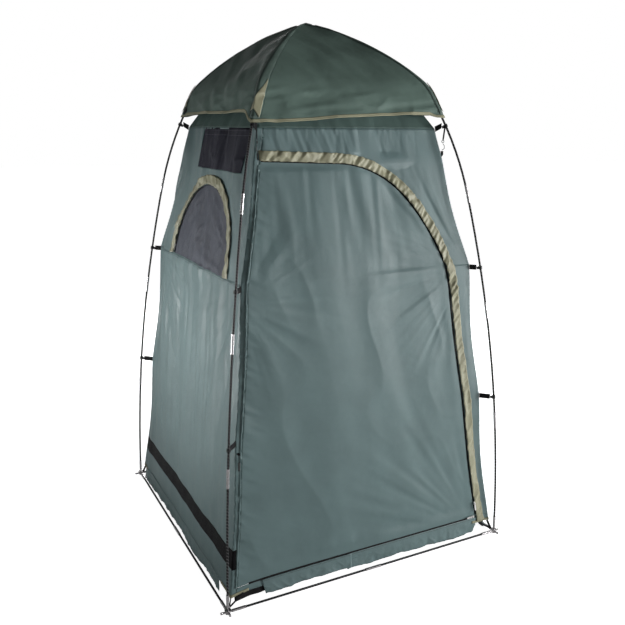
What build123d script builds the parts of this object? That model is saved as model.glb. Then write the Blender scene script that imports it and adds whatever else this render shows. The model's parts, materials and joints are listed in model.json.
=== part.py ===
from build123d import *
from math import asin, atan2, cos, degrees, radians, sin, sqrt
import os

os.makedirs("parts", exist_ok=True)

# Frame: origin on the ground at the centre of the base square, +Z up, the door faces -Y,
# the window wall faces -X. Millimetres.

# ---- base square and pole set ---------------------------------------------------------
BASE_SPAN = 1219.0          # hub centre to hub centre, 48 inches
HALF = BASE_SPAN / 2
HUB_Z = 7.0                 # height of the base rods' centre line
ROD_R = 4.25                # glass-fibre rod, 8.5 mm
ROD_BORE_R = 2.4
CORD_R = 1.5                # shock cord inside the rods
FERRULE_R = 5.5
FERRULE_BORE_R = 4.5
FERRULE_LENGTH = 70.0
SLEEVE_END = 68.0           # from hub centre to the top of a tip sleeve
SLEEVE_START = 16.0
ROD_START = 44.0            # a rod begins this far from its hub centre
PIN_R = 3.9
PIN_LENGTH = 40.0
STUB_LENGTH = 24.0

# One corner pole, from hub to crown, in its diagonal upright plane: (length, lean from
# vertical at the end of that length, degrees). Rods join where the lean rate changes.
FOOT_LEAN = 1.0
LEG_RUNS = [(508.0, 5.4), (469.0, 10.2), (472.0, 14.6), (388.0, 31.5)]
ELBOW_RUNS = [(30.0, 31.5), (60.0, 54.2), (30.0, 54.2)]
CROWN_RUNS = [(458.0, 76.7)]
POLE_RUNS = LEG_RUNS + ELBOW_RUNS + CROWN_RUNS
ELBOW_GRIP = 30.0           # how far a rod sits in the elbow

# ---- hung body ------------------------------------------------------------------------
CLOTH = 2.0                 # thickness of each stand-in cloth solid
HEM_Z, HEM_INSET = 60.0, 18.0
SEAM_Z, SEAM_INSET = 1163.0, 121.0
EAVE_Z, EAVE_INSET = 1687.0, 236.0
SHOULDER_Z, SHOULDER_INSET = 1790.0, 300.0
DRAIN_LOW_Z, DRAIN_HIGH_Z = 155.0, 220.0
TAB_HEIGHTS = [615.0, SEAM_Z - 11.0, 1698.0]
TAB_HEIGHT = 20.0
TAB_THICKNESS, TAB_GAP = 2.0, 0.4

# ---- door -----------------------------------------------------------------------------
STRIP_WIDTH = 20.0          # fixed strip between the left edge of the front and the door
DOOR_GAP = 1.5
DOOR_SILL_Z = 88.0
DOOR_TOP_LEFT_Z = 1575.0
DOOR_BOTTOM_RIGHT = (525.0, DOOR_SILL_Z)
ARCH_END = (388.0, 1125.0)          # a point on the door's straight right edge
RIGHT_RUN = 957.0                   # length of that straight edge
ARCH_RADII = [(720.0, 36.0), (400.0, 43.7)]
FLAP_WIDTH = 37.0
FLAP_THICKNESS = 4.0
ZIP_WIDTH = 7.0
ZIP_THICKNESS = 1.2
RUNNING_GAP = 0.3

# ---- window ---------------------------------------------------------------------------
WINDOW_ACROSS = 20.0        # the window's middle stands this far towards the door
WINDOW_R = 300.0
WINDOW_RISE = 16.0          # straight part of the sides below the arch
WINDOW_FLAP_WIDTH = 38.0
COVER_R = 285.0
VENT_LEFT, VENT_RIGHT = -200.0, 294.0
VENT_BOTTOM, VENT_HEM = 376.0, 530.0

# ---- roof fly -------------------------------------------------------------------------
ROOF_HEM_Z = 1702.0
ROOF_HEM_Y = 410.0
ROOF_LEAN = 20.6
ROOF_STRAIGHT = 117.3
ROOF_BEND_R, ROOF_BEND = 180.5, 21.7
ROOF_CROWN_R = 793.0
HEM_LIFT = 33.0             # the hem is this much higher between the corners
CORNER_LIFT = 25.0          # and this much higher at a corner
PULLED_LIFT = 9.0           # but the front left corner is pulled down
HEM_DIP_START, HEM_DIP_END = 332.0, 372.0   # across, where the hem drops to its corner height
LONG_DIP_START = 130.0      # the front hem starts to drop here on its left
HEM_ENDS = {"front": [(PULLED_LIFT, LONG_DIP_START), (CORNER_LIFT, HEM_DIP_START)],
            "left": [(CORNER_LIFT, HEM_DIP_START), (PULLED_LIFT, HEM_DIP_START)]}
EVEN_ENDS = [(CORNER_LIFT, HEM_DIP_START), (CORNER_LIFT, HEM_DIP_START)]
ROOF_CUT, ROOF_CUT_Z = 480.0, 2200.0        # a frame that clears the whole roof
BINDING_HEIGHT = 12.0
BINDING_THICKNESS = 1.2

# ---- ground skirts --------------------------------------------------------------------
SKIRT_LOW_Z = 4.0
FRONT_SKIRT_LOW_Z = 18.0

SIDES = {"front": 0.0, "left": -90.0, "back": 180.0, "right": 90.0}
CORNERS = {"front_left": 225.0, "front_right": 315.0, "back_right": 45.0, "back_left": 135.0}
BIG = 3000.0


def save(name, *shapes):
    """Write one node, a group of separate solids where there are several."""
    solids = [solid for shape in shapes for solid in shape.solids()]
    body = solids[0] if len(solids) == 1 else Compound(children=solids)
    export_step(body, f"parts/{name}.step")


def turned(shape, side):
    """A piece made for the front wall, turned to another side."""
    return Rot(0, 0, SIDES[side]) * shape


# ---- pole geometry --------------------------------------------------------------------
def corner_plane(angle):
    """Upright plane through the centre line: local x is outward, local y is up."""
    c, s = cos(radians(angle)), sin(radians(angle))
    return Plane(origin=(0, 0, 0), x_dir=(c, s, 0), z_dir=(s, -c, 0))


def run_point(start, lean, bend, distance):
    if abs(bend) < 1e-9:
        return (start[0] - distance * sin(lean), start[1] + distance * cos(lean))
    turn = lean + bend * distance
    return (start[0] + (cos(turn) - cos(lean)) / bend, start[1] + (sin(turn) - sin(lean)) / bend)


def pole_state(distance):
    """Point (outward, up) and lean in radians, this far along a corner pole."""
    point, lean, passed = (HALF * sqrt(2), HUB_Z), radians(FOOT_LEAN), 0.0
    for length, lean_end in POLE_RUNS:
        bend = (radians(lean_end) - lean) / length
        if distance <= passed + length + 1e-6:
            return run_point(point, lean, bend, distance - passed), lean + bend * (distance - passed)
        point = run_point(point, lean, bend, length)
        lean = radians(lean_end)
        passed += length
    return point, lean


def pole_wire(start, end):
    """The pole's centre line between two distances, as tangent arcs and lines."""
    edges, passed = [], 0.0
    for length, _ in POLE_RUNS:
        low, high = max(start, passed), min(end, passed + length)
        passed += length
        if high - low < 1e-6:
            continue
        first, middle, last = (pole_state(d)[0] for d in (low, (low + high) / 2, high))
        chord = Vector(last[0] - first[0], last[1] - first[1])
        bulge = chord.cross(Vector(middle[0] - first[0], middle[1] - first[1])).length / chord.length
        edges.append(Line(first, last) if bulge < 1e-6 else ThreePointArc(first, middle, last))
    return Wire([edge.edge() for edge in edges])


def along_pole(angle, start, end, radius, bore=0.0):
    path = corner_plane(angle) * pole_wire(start, end)
    section = Circle(radius) - Circle(bore) if bore else Circle(radius)
    return sweep(Plane(origin=path @ 0, z_dir=path % 0) * section, path=path)


def pole_height_state(height):
    """Distance outward and lean of the pole at a given height."""
    low, high = 0.0, sum(length for length, _ in POLE_RUNS)
    for _ in range(50):
        middle = (low + high) / 2
        if pole_state(middle)[0][1] < height:
            low = middle
        else:
            high = middle
    point, lean = pole_state(low)
    return point[0], lean


LEG_JOINTS = [sum(length for length, _ in LEG_RUNS[:i + 1]) for i in range(len(LEG_RUNS))]
ELBOW_END = LEG_JOINTS[-1] + sum(length for length, _ in ELBOW_RUNS)
CROWN_END = ELBOW_END + CROWN_RUNS[0][0]


def leg_rods(angle):
    starts = [ROD_START] + LEG_JOINTS[:-1]
    return [along_pole(angle, a, b, ROD_R, ROD_BORE_R) for a, b in zip(starts, LEG_JOINTS)]


def leg_ferrules(angle):
    half = FERRULE_LENGTH / 2
    tubes = []
    for joint in LEG_JOINTS[:-1]:
        tube = along_pole(angle, joint - half, joint + half, FERRULE_R, FERRULE_BORE_R)
        groove = along_pole(angle, joint - 1.0, joint + 1.0, FERRULE_R + 1.0, FERRULE_R - 0.5)
        tubes.append(tube - groove)
    return tubes


def elbow(angle):
    start, end = LEG_JOINTS[-1] - ELBOW_GRIP, ELBOW_END + ELBOW_GRIP
    return along_pole(angle, start, end, FERRULE_R, FERRULE_BORE_R)


def crown_rod(angle):
    return along_pole(angle, ELBOW_END, CROWN_END, ROD_R, ROD_BORE_R)


def leg_cord(angle):
    return along_pole(angle, ROD_START, CROWN_END - 2.0, CORD_R)


def crown_hub():
    """Moulded four-way socket at the peak, with an eye below for a hanging water bag."""
    socket_length, socket_r = 42.0, 6.2
    tip, lean = pole_state(CROWN_END)
    core = Pos(0, 0, tip[1] - 3.0) * Cylinder(17.0, 18.0)
    eye = Pos(0, 0, tip[1] - 19.0) * Rot(90, 0, 0) * (Cylinder(10.0, 6.0) - Cylinder(5.0, 6.0))
    hub = core + eye
    for angle in CORNERS.values():
        hub += along_pole(angle, CROWN_END - socket_length, CROWN_END, socket_r)
        end = corner_plane(angle)
        inward = (tip[0] - 16.0 * sin(lean), tip[1] + 16.0 * cos(lean))
        path = end * Line(tip, inward)
        hub += sweep(Plane(origin=path @ 0, z_dir=path % 0) * Circle(socket_r), path=path)
    for angle in CORNERS.values():
        hub -= along_pole(angle, CROWN_END - socket_length, CROWN_END, ROD_R + 0.2)
    return hub


# ---- corner hubs and base square ------------------------------------------------------
def corner_point(angle):
    return (HALF * sqrt(2) * cos(radians(angle)), HALF * sqrt(2) * sin(radians(angle)))


def straight_rod(start, end, radius, bore=0.0):
    axis = Vector(*end) - Vector(*start)
    frame = Plane(origin=start, z_dir=axis)
    section = Circle(radius) - Circle(bore) if bore else Circle(radius)
    return extrude(frame * section, amount=axis.length)


def corner_hub():
    """Knuckle with one upright pin, two base pins and the stub ends of those pins."""
    x, y = corner_point(CORNERS["front_right"])
    centre = Vector(x, y, HUB_Z)
    hub = Pos(x, y, HUB_Z) * Cylinder(9.0, 2 * HUB_Z)
    foot, _ = pole_state(PIN_LENGTH)
    radial = foot[0] / (HALF * sqrt(2))
    hub += straight_rod(centre, (x * radial, y * radial, foot[1]), PIN_R)
    for direction in (Vector(-1, 0, 0), Vector(0, 1, 0)):
        hub += straight_rod(centre, centre + direction * PIN_LENGTH, PIN_R)
        stub_end = centre - direction * STUB_LENGTH
        hub += straight_rod(centre, stub_end, PIN_R)
        hub += Pos(stub_end.X, stub_end.Y, stub_end.Z) * Sphere(PIN_R + 0.8)
    return hub


def strap_ring(angle):
    x, y = corner_point(angle)
    ring = Cylinder(12.0, 1.5) - Cylinder(PIN_R + 0.6, 1.5)
    return Pos(x, y, 2 * HUB_Z + 0.95) * ring


def base_line(side):
    """Ends of one base pole's centre line, from hub centre to hub centre."""
    a, b = Vector(-HALF, -HALF, HUB_Z), Vector(HALF, -HALF, HUB_Z)
    turn = SIDES[side]
    return a.rotate(Axis.Z, turn), b.rotate(Axis.Z, turn)


def between(side, start, end, radius, bore=0.0):
    a, b = base_line(side)
    axis = (b - a).normalized()
    return straight_rod(a + axis * start, a + axis * end, radius, bore)


def base_rods(side):
    middle = BASE_SPAN / 2
    first = between(side, ROD_START, middle, ROD_R, ROD_BORE_R)
    second = between(side, middle, BASE_SPAN - ROD_START, ROD_R, ROD_BORE_R)
    return [first, second]


def base_ferrule(side):
    middle, half = BASE_SPAN / 2, FERRULE_LENGTH / 2
    tube = between(side, middle - half, middle + half, FERRULE_R, FERRULE_BORE_R)
    return tube - between(side, middle - 1.0, middle + 1.0, FERRULE_R + 1.0, FERRULE_R - 0.5)


def base_sleeves(side):
    low = between(side, SLEEVE_START, SLEEVE_END, FERRULE_R, FERRULE_BORE_R)
    high = between(side, BASE_SPAN - SLEEVE_END, BASE_SPAN - SLEEVE_START, FERRULE_R, FERRULE_BORE_R)
    return [low, high]


# ---- hung walls -----------------------------------------------------------------------
def inset(z):
    """How far the body's edge lies inside the base square at a height, on each axis."""
    if z <= SEAM_Z:
        return HEM_INSET + (SEAM_INSET - HEM_INSET) * (z - HEM_Z) / (SEAM_Z - HEM_Z)
    if z <= EAVE_Z:
        return SEAM_INSET + (EAVE_INSET - SEAM_INSET) * (z - SEAM_Z) / (EAVE_Z - SEAM_Z)
    return EAVE_INSET + (SHOULDER_INSET - EAVE_INSET) * (z - EAVE_Z) / (SHOULDER_Z - EAVE_Z)


def wedge():
    """The quarter of the plan that the front wall fills."""
    quarter = make_face(Polyline((0, 0), (-BIG, -BIG), (BIG, -BIG), close=True))
    return extrude(quarter, amount=BIG)


WEDGE = wedge()


def wall_band(low, high, raise_out=0.0, depth=CLOTH):
    """A layer of the front wall between two heights, mitred at both corners."""
    levels = [low] + [z for z in (SEAM_Z, EAVE_Z) if low < z < high] + [high]
    outer = [(-(HALF - inset(z)) - raise_out, z) for z in levels]
    inner = [(y + depth, z) for y, z in reversed(outer)]
    profile = Plane.YZ * make_face(Polyline(*outer, *inner, close=True))
    return extrude(profile, amount=HALF, both=True) & WEDGE


def prism(face):
    """An outline in (across, up), carried right through the front wall."""
    return extrude(Plane.XZ * face, amount=BIG / 2, both=True)


def box_outline(left, right, low, high):
    return make_face(Polyline((left, low), (right, low), (right, high), (left, high), close=True))


def door_left(z):
    return -(HALF - inset(z)) + STRIP_WIDTH


def arch_start():
    """Where the door's straight right edge ends and the arch begins."""
    along = Vector(*ARCH_END) - Vector(*DOOR_BOTTOM_RIGHT)
    return Vector(*DOOR_BOTTOM_RIGHT) + along.normalized() * RIGHT_RUN


def door_outline():
    top_left = (door_left(DOOR_TOP_LEFT_Z), DOOR_TOP_LEFT_Z)
    seam_left = (door_left(SEAM_Z), SEAM_Z)
    sill_left = (door_left(DOOR_SILL_Z), DOOR_SILL_Z)
    edges = [Line(DOOR_BOTTOM_RIGHT, arch_start())]
    for radius, turn in ARCH_RADII:
        edges.append(JernArc(edges[-1] @ 1, edges[-1] % 1, radius, turn))
    edges.append(Line(edges[-1] @ 1, top_left))
    edges.append(Line(top_left, seam_left))
    edges.append(Line(seam_left, sill_left))
    edges.append(Line(sill_left, DOOR_BOTTOM_RIGHT))
    return make_face([edge.edge() for edge in edges])


DOOR = door_outline()
DOOR_HOLE = offset(DOOR, DOOR_GAP, kind=Kind.INTERSECTION)
DOOR_FLAP_OUTER = offset(DOOR, FLAP_WIDTH, kind=Kind.INTERSECTION)
DOOR_ZIP_INNER = offset(DOOR, -ZIP_WIDTH, kind=Kind.INTERSECTION)


def left_of_door():
    """Everything left of the door's sewn edge, as an outline."""
    rows = [HEM_Z - 5, SEAM_Z, EAVE_Z + 5]
    edge = [(door_left(z) - DOOR_GAP, z) for z in rows]
    return make_face(Polyline((-BIG / 4, rows[0]), *edge, (-BIG / 4, rows[-1]), close=True))


def split_at_arch(shape):
    """A straight lower piece and a curved upper piece of one strip beside the door."""
    height = arch_start().Y
    below = prism(box_outline(0, BIG / 4, 0, height))
    return [shape & below, shape - below]


def front_wall():
    fixed = wall_band(HEM_Z, EAVE_Z) - prism(DOOR_HOLE)
    strip_zone = prism(left_of_door())
    strip = fixed & strip_zone
    rest = fixed - strip_zone
    drain_zone = prism(box_outline(-BIG / 4, BIG / 4, DRAIN_LOW_Z, DRAIN_HIGH_Z))
    return {
        "front_strip_left": strip - drain_zone,
        "strip_drain": strip & drain_zone,
        "front_header": rest & prism(box_outline(-BIG / 4, BIG / 4, SEAM_Z, EAVE_Z)),
        "front_strip_right": split_at_arch(rest & prism(box_outline(0, BIG / 4, DOOR_SILL_Z, SEAM_Z))),
        "front_sill": rest & prism(box_outline(-BIG / 4, BIG / 4, HEM_Z, DOOR_SILL_Z)),
    }


def door_panel():
    return wall_band(DOOR_SILL_Z, DOOR_TOP_LEFT_Z + 30) & prism(DOOR)


def storm_flap():
    zone = prism(box_outline(door_left(DOOR_TOP_LEFT_Z), BIG / 4, DOOR_SILL_Z, EAVE_Z))
    ring = prism(DOOR_FLAP_OUTER) - prism(DOOR_HOLE)
    return split_at_arch(wall_band(DOOR_SILL_Z, EAVE_Z, FLAP_THICKNESS, FLAP_THICKNESS) & ring & zone)


def door_zip():
    zone = prism(box_outline(door_left(DOOR_TOP_LEFT_Z) + ZIP_WIDTH, BIG / 4, DOOR_SILL_Z + 12, EAVE_Z))
    ring = prism(DOOR) - prism(DOOR_ZIP_INNER)
    return wall_band(DOOR_SILL_Z, EAVE_Z, ZIP_THICKNESS, ZIP_THICKNESS) & ring & zone


def bottom_zip():
    left = door_left(DOOR_SILL_Z) + 50
    strip = prism(box_outline(left, DOOR_BOTTOM_RIGHT[0] - 4, DOOR_SILL_Z, DOOR_SILL_Z + 10))
    return wall_band(DOOR_SILL_Z, DOOR_SILL_Z + 20, ZIP_THICKNESS, ZIP_THICKNESS) & strip


# ---- the two flat planes of a wall ----------------------------------------------------
LOWER_SLOPE = atan2(SEAM_INSET - HEM_INSET, SEAM_Z - HEM_Z)
UPPER_SLOPE = atan2(EAVE_INSET - SEAM_INSET, EAVE_Z - SEAM_Z)


def wall_frame(across, height):
    """Plane on the outside of the front wall: x across, y up the wall, z outward."""
    slope = UPPER_SLOPE if height >= SEAM_Z else LOWER_SLOPE
    origin = (across, -(HALF - inset(height)), height)
    return Plane(origin=origin, x_dir=(1, 0, 0), z_dir=(0, -cos(slope), sin(slope)))


WINDOW_FRAME = wall_frame(WINDOW_ACROSS, SEAM_Z)


def arch_face(radius, rise=WINDOW_RISE):
    foot = 0.8
    path = [Line((-radius, foot), (radius, foot)), Line((radius, foot), (radius, rise)),
            ThreePointArc((radius, rise), (0, rise + radius), (-radius, rise)),
            Line((-radius, rise), (-radius, foot))]
    return make_face([edge.edge() for edge in path])


def on_window(face, low, high):
    """A piece on the window wall between two heights above its outer face."""
    solid = extrude(WINDOW_FRAME.offset(low) * face, amount=high - low)
    return turned(solid, "left")


def vent_outline():
    return make_face(Polyline((VENT_LEFT, VENT_BOTTOM), (VENT_RIGHT, VENT_BOTTOM),
                              (VENT_RIGHT, VENT_HEM), (VENT_LEFT, VENT_HEM), close=True))


def window_wall_upper():
    wall = turned(wall_band(SEAM_Z, EAVE_Z), "left")
    holes = on_window(arch_face(WINDOW_R) + vent_outline(), -20, 20)
    return wall - holes


def window_flap():
    ring = arch_face(WINDOW_R + WINDOW_FLAP_WIDTH) - arch_face(WINDOW_R)
    return on_window(ring, 0.0, 3.0)


def window_zip():
    ring = arch_face(WINDOW_R - 0.5) - arch_face(WINDOW_R - 8.0)
    return on_window(ring & Pos(0, 150) * Rectangle(700, 299), -0.6, 0.6)


def window_mesh():
    return on_window(arch_face(WINDOW_R - 0.4), -CLOTH + 0.1, -0.7)


def vent_mesh():
    width = VENT_RIGHT - VENT_LEFT
    outer = Pos((VENT_LEFT + VENT_RIGHT) / 2, (VENT_BOTTOM + VENT_HEM) / 2)
    sheet = on_window(outer * Rectangle(width - 0.6, VENT_HEM - VENT_BOTTOM - 0.6), -CLOTH + 0.1, -0.5)
    hem = Pos((VENT_LEFT + VENT_RIGHT) / 2, VENT_HEM - 12) * Rectangle(width - 0.6, 22)
    return [sheet, on_window(hem, -0.4, 1.0)]


def window_cover():
    """Inner cover, hanging straight down inside from the foot of the window."""
    x = -(HALF - SEAM_INSET) + 8.0
    frame = Plane(origin=(x, -WINDOW_ACROSS, SEAM_Z - 4.0), x_dir=(0, -1, 0), z_dir=(-1, 0, 0))
    sheet = extrude(frame * Rot(0, 0, 180) * arch_face(COVER_R, 10.0), amount=CLOTH / 2, both=True)
    return sheet


# ---- small moving pieces --------------------------------------------------------------
SLIDER = {"length": 14.0, "width": 8.0, "height": 4.2, "pin_z": 7.6, "pin_r": 0.8}


def slider_body(frame):
    """Zip slider: x along the zip, z off the cloth; lugs carry the pull's pin."""
    base_z = ZIP_THICKNESS + RUNNING_GAP
    height = SLIDER["height"]
    block = Pos(0, 0, base_z + height / 2) * Box(SLIDER["length"], SLIDER["width"], height)
    block = chamfer(block.edges().filter_by(Axis.Z), 2.0)
    top = base_z + height
    for side in (-1, 1):
        block += Pos(0, side * 3.2, (top + 9.0) / 2 - 0.5) * Box(3.6, 1.4, 9.0 - top + 1.0)
    block += Pos(0, 0, SLIDER["pin_z"]) * Rot(90, 0, 0) * Cylinder(SLIDER["pin_r"], 7.0)
    return frame * block


def slider_pull(frame):
    """Pull tab lying along -x of its slider, turning on the slider's pin."""
    knuckle = Pos(0, 0, SLIDER["pin_z"]) * Rot(90, 0, 0) * Cylinder(1.7, 4.6)
    neck = Pos(-4.0, 0, SLIDER["pin_z"]) * Box(6.0, 4.6, 1.6)
    tab = Pos(-19.0, 0, SLIDER["pin_z"]) * Box(26.0, 7.5, 1.6)
    tab = fillet(tab.edges().filter_by(Axis.Z), 2.5)
    bore = Pos(0, 0, SLIDER["pin_z"]) * Rot(90, 0, 0) * Cylinder(SLIDER["pin_r"] + 0.06, 8.0)
    return frame * (knuckle + neck + tab - bore)


def door_slider_frame():
    """On the straight right run of the door's zip, a little above the sill."""
    run = Vector(ARCH_END[0] - DOOR_BOTTOM_RIGHT[0], ARCH_END[1] - DOOR_BOTTOM_RIGHT[1])
    height = 150.0
    across = DOOR_BOTTOM_RIGHT[0] + run.X * (height - DOOR_SILL_Z) / run.Y - 5.5
    frame = wall_frame(across, height)
    lift = run.Y / cos(LOWER_SLOPE)
    return Plane(origin=frame.origin, x_dir=frame.x_dir * run.X + frame.y_dir * lift, z_dir=frame.z_dir)


def bottom_slider_frame():
    frame = wall_frame(DOOR_BOTTOM_RIGHT[0] - 22.0, DOOR_SILL_Z + 5.5)
    return Plane(origin=frame.origin, x_dir=frame.x_dir, z_dir=frame.z_dir)


def window_slider_frame():
    """Parked at the foot of the window's zip, on the side away from the door."""
    angle = radians(176.5)
    radius = WINDOW_R - 4.25
    at = WINDOW_FRAME.from_local_coords(Vector(radius * cos(angle), WINDOW_RISE + radius * sin(angle)))
    along = WINDOW_FRAME.x_dir * sin(angle) + WINDOW_FRAME.y_dir * -cos(angle)
    front = Plane(origin=at, x_dir=along, z_dir=WINDOW_FRAME.z_dir).offset(-0.6)
    return front


def window_slider():
    base_z = ZIP_THICKNESS + RUNNING_GAP
    block = Pos(0, 0, base_z + 2.0) * Box(12.0, 6.6, 4.0)
    block = chamfer(block.edges().filter_by(Axis.Z), 1.6)
    tab = Pos(-13.0, 0, base_z + 4.2) * Box(22.0, 5.6, 1.4)
    return turned(window_slider_frame() * (block + tab), "left")


TOGGLE_Z = 575.0
TOGGLE_OUT = 11.0           # the toggle hangs this far in front of its sewn point
TOGGLE_CORD_R, TOGGLE_CORD_LENGTH = 1.2, 26.5
TOGGLE_DROP = 2.5           # the cord starts this far below the keeper's underside
BARREL_R, BARREL_LENGTH = 4.5, 30.0


def toggle():
    """Tie-back toggle: a turned barrel on a short cord, hanging by the door's sewn edge."""
    x = door_left(TOGGLE_Z) - DOOR_GAP - 9.0
    y = -(HALF - inset(TOGGLE_Z)) - TOGGLE_OUT
    top = TOGGLE_Z - TOGGLE_DROP
    cord = Pos(x, y, top - TOGGLE_CORD_LENGTH / 2) * Cylinder(TOGGLE_CORD_R, TOGGLE_CORD_LENGTH)
    barrel_z = top - TOGGLE_CORD_LENGTH - BARREL_LENGTH / 2
    barrel = Pos(x, y, barrel_z) * Cylinder(BARREL_R, BARREL_LENGTH)
    barrel = fillet(barrel.edges().filter_by(GeomType.CIRCLE), 1.5)
    return cord, barrel


def toggle_keeper():
    """Stitched tab whose end holds the toggle's cord."""
    x = door_left(TOGGLE_Z) - DOOR_GAP - 9.0
    y = -(HALF - inset(TOGGLE_Z))
    reach = TOGGLE_OUT + 3.0
    return Pos(x, y - 0.2 - reach / 2, TOGGLE_Z + 2.0) * Box(10.0, reach, 4.0)


# ---- corner fittings ------------------------------------------------------------------
def corner_frame(angle, outward, height, lean=0.0):
    """Frame at a corner: x points inward, z up the pole."""
    c, s = cos(radians(angle)), sin(radians(angle))
    up = Vector(-c * sin(lean), -s * sin(lean), cos(lean))
    inward = Vector(-c * cos(lean), -s * cos(lean), -sin(lean))
    return Plane(origin=(c * outward, s * outward, height), x_dir=inward, z_dir=up)


def pole_clip(angle, height):
    outward, lean = pole_height_state(height)
    ring = Cylinder(7.5, 12.0) - Cylinder(ROD_R + 0.15, 12.0)
    ring -= Pos(-8.0, 0, 0) * Box(10.0, 6.0, 12.0)
    stem = Pos(11.0, 0, 0) * Box(8.0, 5.0, 10.0)
    stem -= Cylinder(ROD_R + 0.15, 12.0)
    return corner_frame(angle, outward, height, lean) * (ring + stem)


def corner_tab(angle, height):
    """Webbing tab from the body's corner edge to the clip; the top one rises from the eave."""
    outward, lean = pole_height_state(height)
    clip_reach = 15.3
    outer = outward - clip_reach - 0.5
    half = TAB_HEIGHT / 2
    sewn = min(height, EAVE_Z - 2.0)
    points = [(corner_reach(sewn - half), sewn - half), (outer, height - half),
              (outer, height + half), (corner_reach(sewn + half), sewn + half)]
    face = make_face(Polyline(*points, close=True))
    return corner_plane(angle) * extrude(face, amount=TAB_THICKNESS / 2, both=True)


def corner_reach(height):
    """Just outside the walls' corner edge, along the corner's diagonal."""
    return (HALF - inset(min(height, EAVE_Z))) * sqrt(2) + TAB_GAP


def foot_straps(angle):
    """Two webbing straps from the hem at a corner to the ring on the hub."""
    x, y = corner_point(angle)
    sign_x, sign_y = (1 if x > 0 else -1), (1 if y > 0 else -1)
    edge = HALF - HEM_INSET
    ring_edge = Vector(x - sign_x * 9.5, y - sign_y * 9.5, 2 * HUB_Z + 2.4)
    straps = []
    corner_top = Vector(sign_x * (edge - 4.0), sign_y * (edge - 4.0), HEM_Z - 8.0)
    tops = [(corner_top, 10.0)]
    if sign_y < 0:
        tops.append((Vector(sign_x * (edge - 50.0), -edge - 2.0, HEM_Z - 6.0), 8.0))
    for top, width in tops:
        run = ring_edge - top
        side = run.cross(Vector(0, 0, 1)).normalized()
        frame = Plane(origin=top + run * 0.5, x_dir=run, z_dir=side)
        straps.append(frame * Box(run.length, width, 1.6))
    return straps


def sideways(angle):
    """+1 or -1: which side of the corner's diagonal faces the front."""
    return -1.0 if angle == CORNERS["front_left"] else 1.0


def tension_strap(angle):
    """Flat elastic from the roof's corner down to its ring."""
    side = 15.0 * sideways(angle)
    top, bottom = Vector(572.0, 1704.0), Vector(566.0, 1645.0)
    run = bottom - top
    strap = Pos((top.X + bottom.X) / 2, (top.Y + bottom.Y) / 2)
    turn = degrees(atan2(run.Y, run.X))
    return corner_plane(angle) * Pos(0, 0, side) * strap * Rot(0, 0, turn) * Box(run.length, 6.0, 1.6)


def tension_hook(angle):
    """Ring and S-hook between the elastic and the wall's tab."""
    side = 15.0 * sideways(angle)
    wire_r = 1.1
    ring = Pos(565.5, 1639.0) * Torus(4.4, wire_r)
    path = FilletPolyline((566.0, 1631.0), (572.0, 1623.0), (572.0, 1612.0), (563.0, 1606.0), radius=2.6)
    hook = sweep(Plane(origin=path @ 0, z_dir=path % 0) * Circle(wire_r), path=path)
    return [corner_plane(angle) * Pos(0, 0, side) * piece for piece in (ring, hook)]


def wall_tab(angle):
    """Webbing tab on the wall's corner edge that the S-hook holds."""
    side = 15.0 * sideways(angle)
    low, high = 1580.0, 1603.0
    edge = (HALF - inset(low)) * sqrt(2)
    points = [(edge + 1.0, low), (569.0, low + 8.0), (569.0, high), (edge - 3.0, high)]
    face = make_face(Polyline(*points, close=True))
    return corner_plane(angle) * Pos(0, 0, side) * extrude(face, amount=0.8, both=True)


# ---- roof fly -------------------------------------------------------------------------
def roof_edges(depth):
    """The roof's section through a panel, this far inside its outer face."""
    lean = radians(ROOF_LEAN)
    start = (-ROOF_HEM_Y + depth * cos(lean), ROOF_HEM_Z - depth * sin(lean))
    bend_start = (start[0] + ROOF_STRAIGHT * sin(lean), start[1] + ROOF_STRAIGHT * cos(lean))
    straight = Line(start, bend_start)
    bend = JernArc(bend_start, straight % 1, ROOF_BEND_R - depth, -ROOF_BEND)
    crown_r = ROOF_CROWN_R - depth
    rising = radians(90 - ROOF_LEAN - ROOF_BEND)
    at_peak = asin(sin(rising) + (bend @ 1).X / crown_r)
    crown = JernArc(bend @ 1, bend % 1, crown_r, -degrees(rising - at_peak))
    return [straight, bend, crown]


def roof_section(outer_depth, inner_depth):
    outer, inner = roof_edges(outer_depth), roof_edges(inner_depth)
    edges = outer + inner + [Line(outer[0] @ 0, inner[0] @ 0), Line(outer[-1] @ 1, inner[-1] @ 1)]
    return Plane.YZ * make_face([edge.edge() for edge in edges])


def above_hem(side, lift=0.0):
    """Everything above a side's hem line, which is lower at its corners than between them."""
    (left_rise, left_start), (right_rise, right_start) = HEM_ENDS.get(side, EVEN_ENDS)
    high, left, right = (ROOF_HEM_Z + rise + lift for rise in (HEM_LIFT, left_rise, right_rise))
    line = [(-ROOF_CUT, left), (-HEM_DIP_END, left), (-left_start, high),
            (right_start, high), (HEM_DIP_END, right), (ROOF_CUT, right)]
    frame = [(ROOF_CUT, ROOF_CUT_Z), (-ROOF_CUT, ROOF_CUT_Z)]
    return prism(make_face(Polyline(*line, *frame, close=True)))


def roof_panel(side):
    shell = extrude(roof_section(0.0, CLOTH), amount=HALF, both=True) & WEDGE
    return turned(shell & above_hem(side), side)


def roof_binding(side):
    shell = extrude(roof_section(-BINDING_THICKNESS, 0.0), amount=HALF, both=True) & WEDGE
    return turned((shell & above_hem(side, 0.5)) - above_hem(side, BINDING_HEIGHT), side)


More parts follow.
